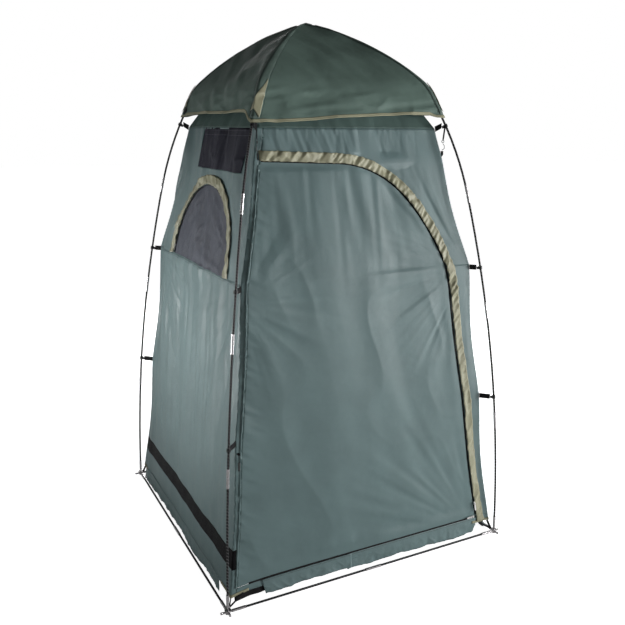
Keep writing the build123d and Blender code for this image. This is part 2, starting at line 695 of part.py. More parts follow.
def roof_patches():
    """Triangular patches on one roof panel beside both corner ridges, with webbing squares."""
    triangle = make_face(Polyline((397.0, 1742.0), (352.0, 1772.0), (345.0, 1858.0), close=True))
    square = make_face(Polyline((353.0, 1768.0), (374.0, 1754.0), (364.0, 1739.0), (343.0, 1753.0),
                                close=True))
    patch = extrude(roof_section(-1.0, 0.0), amount=HALF, both=True) & WEDGE & prism(triangle)
    webbing = extrude(roof_section(-2.2, -1.1), amount=HALF, both=True) & WEDGE & prism(square)
    return [patch, patch.mirror(Plane.YZ)], [webbing, webbing.mirror(Plane.YZ)]


# ---- skirts, sill and bindings at the ground ------------------------------------------
def skirt(low, high, left, right, raise_out):
    levels = [low, high]
    outer = [(-(HALF - inset(z)) - raise_out, z) for z in levels]
    inner = [(y + CLOTH * 0.8, z) for y, z in reversed(outer)]
    profile = Plane.YZ * make_face(Polyline(*outer, *inner, close=True))
    middle = (left + right) / 2
    return Pos(middle, 0, 0) * extrude(profile, amount=(right - left) / 2, both=True)


def hem_binding(side):
    """Ribbed tape on the hem near both corners of a wall."""
    band = wall_band(HEM_Z, HEM_Z + 11.0, 1.2, 1.2)
    left = band & prism(box_outline(-BIG / 4, -520.0, HEM_Z, HEM_Z + 11.0))
    right = band & prism(box_outline(500.0, BIG / 4, HEM_Z, HEM_Z + 11.0))
    return [turned(left, side), turned(right, side)]


# ---- write every node -----------------------------------------------------------------
angles = CORNERS.values()
other_sides = ["left", "back", "right"]

hub = corner_hub()
save("corner_hubs", *[Rot(0, 0, quarter * 90) * hub for quarter in range(4)])
for name, angle in CORNERS.items():
    save(f"leg_rods_{name}", *leg_rods(angle))
save("pole_ferrules", *[tube for angle in angles for tube in leg_ferrules(angle)],
     *[base_ferrule(side) for side in SIDES])
save("tip_sleeves", *[along_pole(a, SLEEVE_START + 2.5, SLEEVE_END, FERRULE_R, FERRULE_BORE_R)
                      for a in angles],
     *[tube for side in SIDES for tube in base_sleeves(side)])
save("roof_elbows", *[elbow(angle) for angle in angles])
save("crown_rods", *[crown_rod(angle) for angle in angles])
save("crown_hub", crown_hub())
save("strap_rings", *[strap_ring(angle) for angle in angles])
save("base_rods", *[rod for side in SIDES for rod in base_rods(side)])
save("shock_cords", *[leg_cord(angle) for angle in angles],
     *[between(side, ROD_START + 1, BASE_SPAN - ROD_START - 1, CORD_R) for side in SIDES])

front = front_wall()
for name in ("front_strip_left", "front_header", "front_sill"):
    save(name, front[name])
save("front_strip_right", *front["front_strip_right"])
for side in other_sides:
    save(f"{side}_wall_lower", turned(wall_band(DRAIN_HIGH_Z, SEAM_Z), side))
save("left_wall_upper", window_wall_upper())
save("back_wall_upper", turned(wall_band(SEAM_Z, EAVE_Z), "back"))
save("right_wall_upper", turned(wall_band(SEAM_Z, EAVE_Z), "right"))
save("hem_panels", *[turned(wall_band(HEM_Z, DRAIN_LOW_Z), side) for side in other_sides])
save("drain_mesh", front["strip_drain"],
     *[turned(wall_band(DRAIN_LOW_Z, DRAIN_HIGH_Z), side) for side in other_sides])
save("shoulder_panels", *[turned(wall_band(EAVE_Z, SHOULDER_Z), side) for side in SIDES])

save("door_panel", door_panel())
save("door_zip", door_zip())
save("bottom_zip", bottom_zip())
save("storm_flap", *storm_flap())
save("door_slider", slider_body(door_slider_frame()))
save("door_pull", slider_pull(door_slider_frame()))
save("bottom_slider", slider_body(bottom_slider_frame()))
save("bottom_pull", slider_pull(bottom_slider_frame()))

save("window_mesh", window_mesh())
save("window_flap", window_flap())
save("window_zip", window_zip())
save("window_cover", window_cover())
save("window_slider", window_slider())
save("vent_mesh", *vent_mesh())

toggle_cord, toggle_barrel = toggle()
save("toggle_cord", toggle_cord)
save("toggle_barrel", toggle_barrel)
save("toggle_keeper", toggle_keeper())

save("pole_clips", *[pole_clip(angle, z) for angle in angles for z in TAB_HEIGHTS])
save("corner_tabs", *[corner_tab(angle, z) for angle in angles for z in TAB_HEIGHTS])
save("foot_straps", *[strap for angle in angles for strap in foot_straps(angle)])
front_angles = [CORNERS["front_left"], CORNERS["front_right"]]
save("tension_straps", *[tension_strap(angle) for angle in front_angles])
save("tension_hooks", *[piece for angle in front_angles for piece in tension_hook(angle)])
save("wall_tabs", *[wall_tab(angle) for angle in front_angles])

for side in SIDES:
    save(f"roof_{side}", roof_panel(side))
save("roof_binding", *[roof_binding(side) for side in SIDES])
patches, squares = roof_patches()
save("roof_patches", *[turned(patch, side) for side in ("left", "right") for patch in patches])
save("roof_webbing", *[turned(piece, side) for side in ("left", "right") for piece in squares])

save("front_skirt", skirt(FRONT_SKIRT_LOW_Z, DOOR_SILL_Z - 2, -470.0, -90.0, 3.4),
     skirt(FRONT_SKIRT_LOW_Z, DOOR_SILL_Z - 2, -110.0, 520.0, 5.4))
save("inner_sill", skirt(FRONT_SKIRT_LOW_Z + 4, DOOR_SILL_Z - 4, -575.0, 470.0, -CLOTH))
save("ground_skirts", *[turned(skirt(SKIRT_LOW_Z, HEM_Z + 4, -556.0, 484.0, 3.4), side)
                        for side in other_sides])
save("hem_binding", *[strip for side in SIDES for strip in hem_binding(side)])
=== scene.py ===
import json
import math

import bmesh
import bpy
import numpy as np
from mathutils import Matrix, Vector
from mathutils.geometry import delaunay_2d_cdt


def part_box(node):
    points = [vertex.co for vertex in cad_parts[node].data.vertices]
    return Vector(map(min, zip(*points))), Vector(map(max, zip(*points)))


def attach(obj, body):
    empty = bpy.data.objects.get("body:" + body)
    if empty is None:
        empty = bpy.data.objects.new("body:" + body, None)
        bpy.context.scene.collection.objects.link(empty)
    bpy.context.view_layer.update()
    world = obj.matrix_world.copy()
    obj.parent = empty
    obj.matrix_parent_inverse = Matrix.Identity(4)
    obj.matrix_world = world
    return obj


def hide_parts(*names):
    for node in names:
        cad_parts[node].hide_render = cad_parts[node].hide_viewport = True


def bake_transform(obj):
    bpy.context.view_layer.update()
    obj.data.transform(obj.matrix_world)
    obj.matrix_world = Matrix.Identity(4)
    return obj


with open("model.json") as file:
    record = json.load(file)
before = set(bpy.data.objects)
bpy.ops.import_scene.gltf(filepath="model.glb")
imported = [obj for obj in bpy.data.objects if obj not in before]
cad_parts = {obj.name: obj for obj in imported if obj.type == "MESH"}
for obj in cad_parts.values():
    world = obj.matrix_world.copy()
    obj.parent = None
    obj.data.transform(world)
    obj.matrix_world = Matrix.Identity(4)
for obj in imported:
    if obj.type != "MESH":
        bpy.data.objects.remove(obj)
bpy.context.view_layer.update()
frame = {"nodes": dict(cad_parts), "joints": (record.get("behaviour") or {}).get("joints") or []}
NODES = frame["nodes"]

# Metres. The door faces -Y and the window wall faces -X. A wall's own frame is the front
# wall's: across (+X), up (+Z), and outward is -Y.
SIDES = {"front": 0.0, "left": -90.0, "back": 180.0, "right": 90.0}
TURNED_BACK = {"left": "right", "right": "left"}

HEM_Z, HEM_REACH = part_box("hem_panels")[0].z, -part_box("hem_panels")[0].x
SEAM_Z, SEAM_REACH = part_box("left_wall_upper")[0].z, -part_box("left_wall_upper")[0].x
EAVE_Z, EAVE_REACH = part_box("shoulder_panels")[0].z, -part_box("shoulder_panels")[0].x
TOP_Z, TOP_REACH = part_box("shoulder_panels")[1].z, 0.3095
FOOT_REACH = HEM_REACH + (HEM_REACH - SEAM_REACH) * HEM_Z / (SEAM_Z - HEM_Z)
PROFILE_Z = [0.0, SEAM_Z, EAVE_Z, TOP_Z]
PROFILE_REACH = [FOOT_REACH, SEAM_REACH, EAVE_REACH, TOP_REACH]
UPPER_SLOPE = math.hypot(1.0, (SEAM_REACH - EAVE_REACH) / (EAVE_Z - SEAM_Z))
TAB_HEIGHTS, TAB_DIP = [0.615, 1.152, 1.592, 1.690], 0.009

WINDOW_LOW, WINDOW_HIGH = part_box("window_zip")
WINDOW_X = -(WINDOW_LOW.y + WINDOW_HIGH.y) / 2
WINDOW_R = (WINDOW_HIGH.y - WINDOW_LOW.y) / 2
WINDOW_FOOT = 0.016         # the straight part of its sides, under the arch
DOOR_TOP_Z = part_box("door_panel")[1].z
DOOR_EDGE_IN = 0.020        # from the wall's corner to the door's sewn edge
BOTTOM_ZIP_Z = 0.093

CLOTH_THICKNESS = 0.0009
SKIRT_LIMIT = 0.0115        # how far a skirt may stand off its wall
STITCH_PITCH, STITCH_SHARE = 0.0052, 0.66
STITCH_WIDTH, STITCH_HEIGHT, STITCH_SUNK = 0.0006, 0.0005, 0.0004
STITCH_INSET = 0.004        # from a flap's edge
STITCH_BOX = [(0, 3, 2, 1), (4, 5, 6, 7), (0, 1, 5, 4), (1, 2, 6, 5), (2, 3, 7, 6), (3, 0, 4, 7)]
ROW_STEP = 0.866            # between rows of even triangles, as a share of their side
TINY = 1e-12


# ---- noise that is the same each run ----
def lattice(ix, iy, seed):
    mixed = np.sin(ix * 127.1 + iy * 311.7 + seed * 74.7) * 43758.5453
    return mixed - np.floor(mixed)


def noise(x, y, seed=0):
    """Smooth value noise from -0.5 to 0.5."""
    x, y = np.broadcast_arrays(np.asarray(x, float), np.asarray(y, float))
    ix, iy = np.floor(x), np.floor(y)
    fx, fy = x - ix, y - iy
    sx, sy = fx * fx * (3 - 2 * fx), fy * fy * (3 - 2 * fy)
    low = lattice(ix, iy, seed) * (1 - sx) + lattice(ix + 1, iy, seed) * sx
    high = lattice(ix, iy + 1, seed) * (1 - sx) + lattice(ix + 1, iy + 1, seed) * sx
    return low * (1 - sy) + high * sy - 0.5


def fold(x, z, depth, across, up, seed):
    """Soft folds of one depth and of one size across and up, in metres."""
    return depth * noise(x / across, z / up, seed)


def ridge(x, z, depth, across, up, seed):
    """Sharp crests with soft hollows between them, given like the folds."""
    return depth * (1 - 2 * np.abs(noise(x / across, z / up, seed))) ** 4


def ramp(value, low, high):
    """0 below low, 1 above high and smooth between them."""
    t = np.clip((value - low) / (high - low), 0, 1)
    return t * t * (3 - 2 * t)


# ---- places along paths and on walls ----
def unit(rows):
    """Rows scaled to a length of one."""
    return rows / (np.linalg.norm(rows, axis=1, keepdims=True) + TINY)


def arc_length(path):
    """The distance along a path at each of its points."""
    return np.concatenate([[0], np.cumsum(np.linalg.norm(np.diff(path, axis=0), axis=1))])


def along(path, at):
    """The coordinates at these distances along a path, one row for each axis."""
    arc = arc_length(path)
    return np.stack([np.interp(at, arc, column) for column in path.T])


def reach(z):
    """How far the wall's outer face stands from the centre line at a height."""
    return np.interp(z, PROFILE_Z, PROFILE_REACH)


def sewn_edge(z):
    """How far across the door's sewn edge stands."""
    return -reach(z) + DOOR_EDGE_IN


def from_window(x, z):
    """The distance on the wall from the centre of the window's arch."""
    up = np.clip((z - SEAM_Z) * UPPER_SLOPE - WINDOW_FOOT, 0, None)
    return np.hypot(x - WINDOW_X, up)


def turned(points, side):
    """Points of the front wall's frame, turned to another side."""
    a = math.radians(SIDES[side])
    c, s = math.cos(a), math.sin(a)
    return points @ np.array([[c, s, 0], [-s, c, 0], [0, 0, 1]])


def outward(side, count=1, way=(0.0, -1.0, 0.0)):
    """Rows that point out of a side."""
    return np.repeat(turned(np.array([way]), side), count, 0)


# ---- the relief of each wall, outward, in metres ----
# Tension folds that spread out from a point: depth, centre, the angle of one fold, reach, seed.
FANS = {
    "front": ((0.0065, (0.53, 0.02), 0.13, 0.90, 12), (0.009, (0.47, 1.16), 0.13, 0.60, 16),
              (0.006, (-0.50, 1.10), 0.16, 0.45, 18)),
    "left": ((0.016, (0.50, 1.17), 0.14, 0.75, 28), (0.014, (-0.50, 1.17), 0.14, 0.70, 30)),
    "back": ((0.014, (0.50, 1.17), 0.14, 0.75, 48), (0.014, (-0.52, 0.62), 0.14, 0.70, 50)),
    "right": ((0.014, (-0.50, 1.17), 0.14, 0.75, 68), (0.014, (0.52, 0.62), 0.14, 0.70, 70)),
}


def fans(x, z, side):
    """A wall's tension folds, which fade with distance from their centres."""
    total = 0.0
    for depth, centre, turn, far, seed in FANS[side]:
        away = np.hypot(x - centre[0], z - centre[1])
        angle = np.arctan2(z - centre[1], x - centre[0])
        folds = noise(angle / turn, away / (0.6 * far), seed)
        folds = folds + 0.4 * noise(angle / (0.4 * turn), away / 0.3, seed + 1)
        shown_part = ramp(away, 0.08 * far, 0.5 * far) * ramp(far - away, 0.0, 0.7 * far)
        total = total + depth * folds * shown_part
    return total


def hanging(x, z, seed, size):
    """Long soft folds that hang down a wall: broad, middle and fine ones."""
    lean = x + fold(x, z, 0.05, 0.5, 0.5, seed + 3)
    folds = fold(lean, z, 0.013, 0.13, 0.9, seed) + fold(lean, z, 0.0075, 0.055, 0.5, seed + 1)
    folds += fold(lean, z, 0.0016, 0.022, 0.22, seed + 2)
    return size * folds * (0.35 + 0.65 * ramp(z, 0.1, 0.5))


def front_relief(x, z):
    lean = x - 0.22 * (DOOR_TOP_Z - z)
    folds = fold(x, z, 0.012, 0.17, 1.1, 5) + fold(lean, z, 0.0045, 0.08, 0.7, 6)
    on_door = ramp(z, 1.0, 1.45) * ramp(0.42 - x, 0.0, 0.3)
    on_door = on_door * ramp(DOOR_TOP_Z + 0.01 - z, 0.0, 0.04)
    folds += on_door * (fold(lean, z, 0.0045, 0.042, 0.5, 7) + fold(x, z, 0.0028, 0.022, 0.3, 8))
    gathers = fold(x + 0.35 * z, z, 0.0040, 0.015, 0.14, 9) - ridge(x, z, 0.003, 0.05, 0.2, 10)
    gathers += np.exp(-np.abs(EAVE_Z - z) / 0.03) * fold(x, z, 0.0042, 0.0085, 0.06, 19)
    header = ramp(z, DOOR_TOP_Z - 0.01, DOOR_TOP_Z + 0.035) * ramp(0.40 - x, 0.0, 0.35)
    folds += header * gathers
    beside_seam = np.exp(-np.clip(x - sewn_edge(z), 0, 1) / 0.032)
    folds += beside_seam * fold(z + 0.5 * x, x, 0.0065, 0.016, 0.05, 11)
    on_strip = ramp(sewn_edge(z) + 0.004 - x, 0.0, 0.006)
    folds += on_strip * fold(x, z, 0.005, 0.012, 0.3, 15)
    folds += fans(x, z, "front")
    sill = np.exp(-np.clip(z - 0.09, 0, 2) / 0.05)
    folds += sill * fold(x, z, 0.005, 0.03, 0.05, 13)
    folds += ridge(x + 0.4 * z, z - 0.2 * x, 0.0020, 0.16, 0.3, 14)
    # The cloth lies flat along the zips, where the sliders run.
    low_zip = ramp(np.abs(z - BOTTOM_ZIP_Z), 0.010, 0.05)
    side_zip = ramp(np.abs(x - np.interp(z, *DOOR_RIM)), 0.012, 0.055)
    off_top = ramp(z, DOOR_TOP_Z - 0.004, DOOR_TOP_Z + 0.03)
    off_top = off_top + ramp(DOOR_TOP_Z - 0.012 - z, 0.0, 0.03) + ramp(x, 0.2, 0.3)
    return folds * low_zip * side_zip * np.minimum(off_top, 1)


def left_relief(x, z):
    under_seam = ramp(z, 0.7, SEAM_Z) * ramp(SEAM_Z + 0.02 - z, 0.0, 0.03)
    folds = hanging(x, z, 21, 1.2) + under_seam * fold(x, z, 0.010, 0.035, 0.3, 25)
    folds += ramp(z, 0.15, 0.5) * fold(x + 0.06 * z, z, 0.0032, 0.020, 0.45, 29)
    folds += fans(x, z, "left")
    upper = ramp(z, SEAM_Z, SEAM_Z + 0.08)
    folds += upper * fold(x + 0.3 * (z - SEAM_Z), z, 0.017, 0.055, 0.6, 26)
    low = ramp(0.42 - z, 0.0, 0.25) * ramp(z, 0.2, 0.3)
    folds += low * fold(x + 0.5 * z, z, 0.008, 0.07, 0.3, 27)
    # Flat along the window's zip, and clear of the inner cover everywhere above the seam.
    above = ramp(z, SEAM_Z - 0.06, SEAM_Z)
    off_zip = np.abs(from_window(x, z) - WINDOW_R)
    folds *= 1 - above * ramp(0.045 - off_zip, 0.0, 0.035)
    least, softness = -0.003 - 0.02 * np.clip(z - SEAM_Z, 0, None), 0.003
    kept = least + softness * np.logaddexp(0, (folds - least) / softness)
    return folds + (kept - folds) * above


RELIEF = {
    "front": front_relief,
    "left": left_relief,
    "back": lambda x, z: hanging(x, z, 41, 1.1) + fans(x, z, "back"),
    "right": lambda x, z: hanging(x, z, 61, 1.1) + fans(x, z, "right"),
}


def corner_dip(z):
    """The corner edge is pulled out at its tabs and falls back a little between them."""
    levels = [HEM_Z, *TAB_HEIGHTS]
    dip = np.zeros_like(z)
    for low, high in zip(levels, levels[1:]):
        t = np.clip((z - low) / (high - low), 0, 1)
        dip += TAB_DIP * min(1.0, (high - low) / 0.45) ** 1.5 * np.sin(np.pi * t) ** 1.5
    return dip


def hem_pull(x, z, side):
    """The hem is drawn down at its corners, most at the front left one."""
    from_corner = np.clip(reach(z) - np.abs(x), 0, None)
    pulled_end = {"front": -1, "left": 1}.get(side, 0)
    depth = np.where(x * pulled_end > 0, 0.016, 0.004)
    return depth * np.exp(-from_corner / 0.07) * ramp(0.26 - z, 0.0, 0.2)


def seat(x, z, side, out=0.0, extra=None):
    """Places (across, up) points on a wall, with its folds: n by 3, in the row frame."""
    out = out + (extra(x, z) if extra else 0.0)
    edge = reach(z)
    from_corner = np.clip(edge - np.abs(x), 0, None)
    lift = RELIEF[side](x, z) * ramp(from_corner, 0.0, 0.03) * ramp(TOP_Z - z, 0.0, 0.02)
    pull = corner_dip(z) * np.exp(-from_corner / 0.10)
    aside = out * ramp(0.01 - from_corner, 0.0, 0.01) - pull
    y = -(edge + out + lift - pull)
    return turned(np.stack([x + np.sign(x) * aside, y, z - hem_pull(x, z, side)], -1), side)


# ---- outlines from the frame ----
def islands(node):
    """Each separate solid of a CAD node as (points, triangles)."""
    mesh = NODES[node].data
    mesh.calc_loop_triangles()
    raw = np.array([v.co for v in mesh.vertices])
    tris = np.array([t.vertices for t in mesh.loop_triangles])
    points, index = np.unique(np.round(raw, 5), axis=0, return_inverse=True)
    tris = index.reshape(-1)[tris]
    label = np.arange(len(points))
    while True:
        low = label[tris].min(1)
        new = label.copy()
        for k in range(3):
            np.minimum.at(new, tris[:, k], low)
        if (new == label).all():
            break
        label = new
    marks = label[tris[:, 0]]
    return [(points, tris[marks == mark]) for mark in np.unique(marks)]


def rim_sides(tris):
    """The sides that only one triangle has, as it runs along them."""
    sides = np.concatenate([tris[:, [0, 1]], tris[:, [1, 2]], tris[:, [2, 0]]])
    _, first, times = np.unique(np.sort(sides, axis=1), axis=0, return_index=True,
                                return_counts=True)
    return sides[first[times == 1]]


def outline(node, side, pick=None):
    """(across, up) points and edges round the outward faces of a node on one side."""
    corners, edges = [], []
    for number, (points, tris) in enumerate(islands(node)):
        if pick is not None and number not in pick:
            continue
        local = turned(points, TURNED_BACK.get(side, side))
        a, b, c = (local[tris[:, k]] for k in range(3))
        centre = (a + b + c) / 3
        faces_out = unit(np.cross(b - a, c - a))[:, 1] < -0.4
        outer = tris[faces_out & (np.abs(centre[:, 0]) < 0.02 - centre[:, 1])]
        if not len(outer):
            continue
        used, rim = np.unique(np.sort(rim_sides(outer), axis=1), return_inverse=True)
        edges.extend(rim.reshape(-1, 2) + len(corners))
        corners.extend(local[used][:, [0, 2]])
    return np.array(corners), np.array(edges)


def door_rim():
    """The door's right edge as heights and how far across it stands at each."""
    corners, _ = outline("door_panel", "front")
    right = corners[corners[:, 0] > 0.05]
    right = right[np.argsort(right[:, 1])]
    return right[:, 1], right[:, 0]


DOOR_RIM = door_rim()


def loops(corners, edges):
    """The outline as closed rings of points, each anticlockwise seen from outside."""
    after = {}
    for a, b in edges:
        after.setdefault(int(a), []).append(int(b))
        after.setdefault(int(b), []).append(int(a))
    rings, left = [], set(after)
    while left:
        ring = [left.pop()]
        while True:
            onward = [n for n in after[ring[-1]] if n in left]
            if not onward:
                break
            ring.append(onward[0])
            left.discard(onward[0])
        points = corners[ring]
        x, z = points.T
        turning = np.sum(x * np.roll(z, -1) - np.roll(x, -1) * z)
        rings.append(points if turning > 0 else points[::-1])
    return rings


def inside(points, border, rim):
    """Which points lie inside the border, by counting the edges beside each."""
    odd = np.zeros(len(points), bool)
    for a, b in rim:
        (x0, z0), (x1, z1) = border[a], border[b]
        if z0 == z1:
            continue
        crosses = (z0 > points[:, 1]) != (z1 > points[:, 1])
        at = x0 + (points[:, 1] - z0) / (z1 - z0) * (x1 - x0)
        odd ^= crosses & (points[:, 0] < at)
    return odd


def clear_of(points, border, rim, gap):
    """Which points are further than the gap from the border."""
    keep = np.ones(len(points), bool)
    for a, b in rim:
        start, run = border[a], border[b] - border[a]
        t = np.clip(((points - start) @ run) / max(run @ run, TINY), 0, 1)
        keep &= np.linalg.norm(points - start - t[:, None] * run, axis=1) > gap
    return keep


def filled(corners, edges, spacing, wobble=0.0):
    """Triangles of nearly even size inside an outline, whose edge may wander a little."""
    points, rim = list(corners), []
    for a, b in edges:
        steps = max(1, int(np.ceil(np.linalg.norm(corners[b] - corners[a]) / spacing)))
        last = a
        for step in range(1, steps):
            points.append(corners[a] + (corners[b] - corners[a]) * step / steps)
            rim.append((last, len(points) - 1))
            last = len(points) - 1
        rim.append((last, b))
    border, rim = np.array(points), np.array(rim)
    drift = [noise(border[:, 0] / 0.011, border[:, 1] / 0.011, seed) for seed in (77, 78)]
    border = border + 2 * wobble * np.stack(drift, -1)
    low, high = border.min(0), border.max(0)
    row_step = spacing * ROW_STEP
    inner = [np.zeros((0, 2))]
    for number, z in enumerate(np.arange(low[1] + row_step * 0.6, high[1], row_step)):
        xs = np.arange(low[0] + spacing * (0.5 if number % 2 else 0.25), high[0], spacing)
        inner.append(np.stack([xs, np.full_like(xs, z)], -1))
    inner = np.concatenate(inner)
    inner = inner[inside(inner, border, rim)]
    inner = inner[clear_of(inner, border, rim, spacing * 0.45)]
    everything = [Vector(p) for p in np.concatenate([border, inner])]
    made = delaunay_2d_cdt(everything, [tuple(map(int, e)) for e in rim], [], 0, 1e-7, False)
    flat = np.array([v[:] for v in made[0]])
    tris = np.array([f for f in made[2] if len(f) == 3])
    tris = tris[inside(flat[tris].mean(1), border, rim)]
    u, v = flat[tris[:, 1]] - flat[tris[:, 0]], flat[tris[:, 2]] - flat[tris[:, 0]]
    area = u[:, 0] * v[:, 1] - u[:, 1] * v[:, 0]
    real = np.abs(area) > 1e-10
    tris, area = tris[real], area[real]
    tris[area < 0] = tris[area < 0][:, ::-1]
    used, index = np.unique(tris, return_inverse=True)
    return flat[used], index.reshape(-1, 3), np.abs(area).sum() / 2


# ---- meshes ----
def new_mesh(name, points, faces, smooth=False):
    """A mesh whose faces are all smooth, all flat, or as one value each says."""
    mesh = bpy.data.meshes.new(name)
    mesh.from_pydata([tuple(p) for p in points], [], faces)
    mesh.polygons.foreach_set("use_smooth", np.resize(smooth, len(faces)))
    mesh.update()
    return mesh


def grid_triangles(rows, columns):
    index = np.arange(rows * columns).reshape(rows, columns)
    a, b, c, d = index[:-1, :-1], index[:-1, 1:], index[1:, 1:], index[1:, :-1]
    halves = (np.stack(corners, -1).reshape(-1, 3) for corners in ((a, b, c), (a, c, d)))
    return np.concatenate(list(halves))


def round_quads(rows, columns):
    """The faces between rows of points that each close on themselves."""
    low = np.arange(rows - 1)[:, None] * columns
    a, b = low + np.arange(columns), low + np.roll(np.arange(columns), -1)
    return np.stack([a, b, b + columns, a + columns], -1).reshape(-1, 4)


def thick_mesh(name, points, tris, thickness):
    """A closed skin: the sheet, its copy further in, and the rim between them."""
    a, b, c = (points[tris[:, k]] for k in range(3))
    face = np.cross(b - a, c - a)
    normals = np.zeros_like(points)
    for k in range(3):
        np.add.at(normals, tris[:, k], face)
    a, b = rim_sides(tris).T
    count = len(points)
    faces = tris.tolist() + (tris[:, ::-1] + count).tolist()
    smooth = np.arange(len(faces) + len(a)) < len(faces)
    faces += np.stack([b, a, a + count, b + count], -1).tolist()
    both = np.concatenate([points, points - unit(normals) * thickness])
    return new_mesh(name, both, faces, smooth)


def stitch_mesh(name, starts, ends, normals):
    """Short threads, each a small closed box lying on the cloth."""
    aside = unit(np.cross(ends - starts, normals)) * STITCH_WIDTH / 2
    ring = [starts - aside, starts + aside, ends + aside, ends - aside]
    rows = [row - normals * STITCH_SUNK for row in ring]
    rows += [row + normals * STITCH_HEIGHT for row in ring]
    faces = [[8 * k + i for i in face] for k in range(len(starts)) for face in STITCH_BOX]
    return new_mesh(name, np.stack(rows, 1).reshape(-1, 3), faces)


# ---- materials ----
LOOKS = {}
# The record's material slot of each look that isn't named like its slot.
SLOTS = {"skirt_cloth_painted_shade": "green_cloth", "dark_thread": "green_cloth", "roof_cloth_painted_shade": "roof_cloth",
         "shoulder_cloth_painted_shade": "roof_cloth", "tan_ribbed": "tan_tape", "tan_thread": "tan_tape",
         "drain_cloth": "black_mesh", "grey_thread": "black_mesh"}
WHITE = (1, 1, 1, 1)


class Nodes:
    """Short-hand for the node tree of a material or a world."""

    def __init__(self, owner):
        owner.use_nodes = True
        self.tree = owner.node_tree
        self.shader = self.tree.nodes.get("Principled BSDF")
        self.places = self.add("TexCoord").outputs

    def feed(self, node, inputs):
        """Sets a node's inputs, each to a constant or to another node's output."""
        for name, value in inputs.items():
            if isinstance(value, bpy.types.NodeSocket):
                self.tree.links.new(value, node.inputs[name])
            else:
                node.inputs[name].default_value = value

    def add(self, kind, inputs=None, **settings):
        made = self.tree.nodes.new("ShaderNode" + kind)
        for key, value in settings.items():
            setattr(made, key, value)
        self.feed(made, inputs or {})
        return made

    def apart(self, place="Object"):
        return self.add("SeparateXYZ", {0: self.places[place]}).outputs

    def noise(self, scale, detail=3.0, stretch=None, distortion=0.0):
        place = self.places["Object"]
        if stretch:
            place = self.add("Mapping", {"Scale": stretch, "Vector": place}).outputs["Vector"]
        return self.add("TexNoise", {"Scale": scale, "Detail": detail, "Distortion": distortion,
                                     "Vector": place}).outputs["Fac"]

    def blend(self, fac, low, high, start=0.3, end=0.7):
        made = self.add("ValToRGB", {"Fac": fac})
        for element, at, colour in zip(made.color_ramp.elements, (start, end), (low, high)):
            element.position, element.color = at, (*colour, 1)
        return made.outputs["Color"]

    def mottled(self, scale, detail, colour, low, high, stretch=None):
        """A colour that varies in patches between two shades of it."""
        patches = self.noise(scale, detail, stretch)
        return self.blend(patches, shade(colour, low), shade(colour, high))

    def span(self, value, low, high):
        made = self.add("MapRange", {"To Min": low, "To Max": high, "Value": value})
        return made.outputs["Result"]

    def math(self, operation, a, b=0.0):
        return self.add("Math", {0: a, 1: b}, operation=operation).outputs[0]

    def wave(self, value, period):
        """A sine of a length, with that period in metres, from -1 to 1."""
        return self.math("SINE", self.math("MULTIPLY", value, 2 * math.pi / period))

    def threads(self, period):
        """Crossing threads: one set level, one set upright."""
        apart = self.apart()
        across = self.math("ADD", apart["X"], apart["Y"])
        return self.math("MULTIPLY", self.wave(across, period), self.wave(apart["Z"], period))

    def bump(self, height, strength, distance, after=None):
        inputs = {"Strength": strength, "Distance": distance, "Height": height}
        if after is not None:
            inputs["Normal"] = after
        normal = self.add("Bump", inputs).outputs["Normal"]
        self.feed(self.shader, {"Normal": normal})
        return normal


def shade(colour, factor):
    return tuple(min(1.0, c * factor) for c in colour)


def new_look(name):
    LOOKS[name] = bpy.data.materials.new(name)
    return Nodes(LOOKS[name])


def wound_rod(name, dark, light):
    """A glossy rod with fibres wound round it; the lighter slanting stripes in its colour are
    painted highlights along the winding.
    """
    made = new_look(name)
    apart = made.apart()
    total = made.math("ADD", made.math("ADD", apart["X"], apart["Y"]), apart["Z"])
    winding_glint = made.span(made.wave(total, 0.013), 0.0, 1.0)
    # Painted highlight: the stripes' lighter colour.
    made.feed(made.shader, {"Base Color": made.blend(winding_glint, dark, light, 0.55, 0.95),
                            "Roughness": made.span(made.noise(120.0, 2.0), 0.25, 0.4),
                            "Specular IOR Level": 0.25})
    made.bump(winding_glint, 0.15, 0.0002)


def fabric(name, colour, *, rough=0.55, period=0.0012, weave=0.25, crumple=0.4, glow=0.0,
           sheen=0.0, shine=0.35):
    """Woven cloth. The period is its threads' spacing, and glow the light that comes through."""
    made = new_look(name)
    made.feed(made.shader, {
        "Base Color": made.mottled(9.0, 4.0, colour, 0.93, 1.07),
        "Roughness": made.span(made.noise(60.0, 2.0), rough - 0.06, rough + 0.06),
        "Sheen Weight": sheen, "Sheen Roughness": 0.4, "Specular IOR Level": shine})
    soft = made.bump(made.noise(28.0, 3.0, distortion=0.6), crumple, 0.002)
    made.bump(made.threads(period), weave, 0.0002, soft)
    if glow:
        through = made.add("BsdfTranslucent", {"Color": (*shade(colour, 1.25), 1)})
        both = made.add("MixShader", {"Fac": glow, 1: made.shader.outputs[0],
                                      2: through.outputs[0]})
        made.feed(made.tree.nodes["Material Output"], {"Surface": both.outputs[0]})


def metal(name, colour, rough):
    made = new_look(name)
    made.feed(made.shader, {
        "Base Color": made.mottled(40.0, 4.0, colour, 0.82, 1.08, stretch=(6.0, 6.0, 0.6)),
        "Roughness": made.span(made.noise(180.0, 3.0), rough - 0.08, rough + 0.12),
        "Metallic": 1.0})
    made.bump(made.noise(900.0, 2.0), 0.25, 0.00005)


def moulded(name, colour, rough):
    made = new_look(name)
    made.feed(made.shader, {
        "Base Color": made.mottled(30.0, 3.0, colour, 0.8, 1.3),
        "Roughness": made.span(made.noise(150.0, 3.0), rough - 0.05, rough + 0.1)})
    made.bump(made.noise(1400.0, 2.0), 0.15, 0.0001)


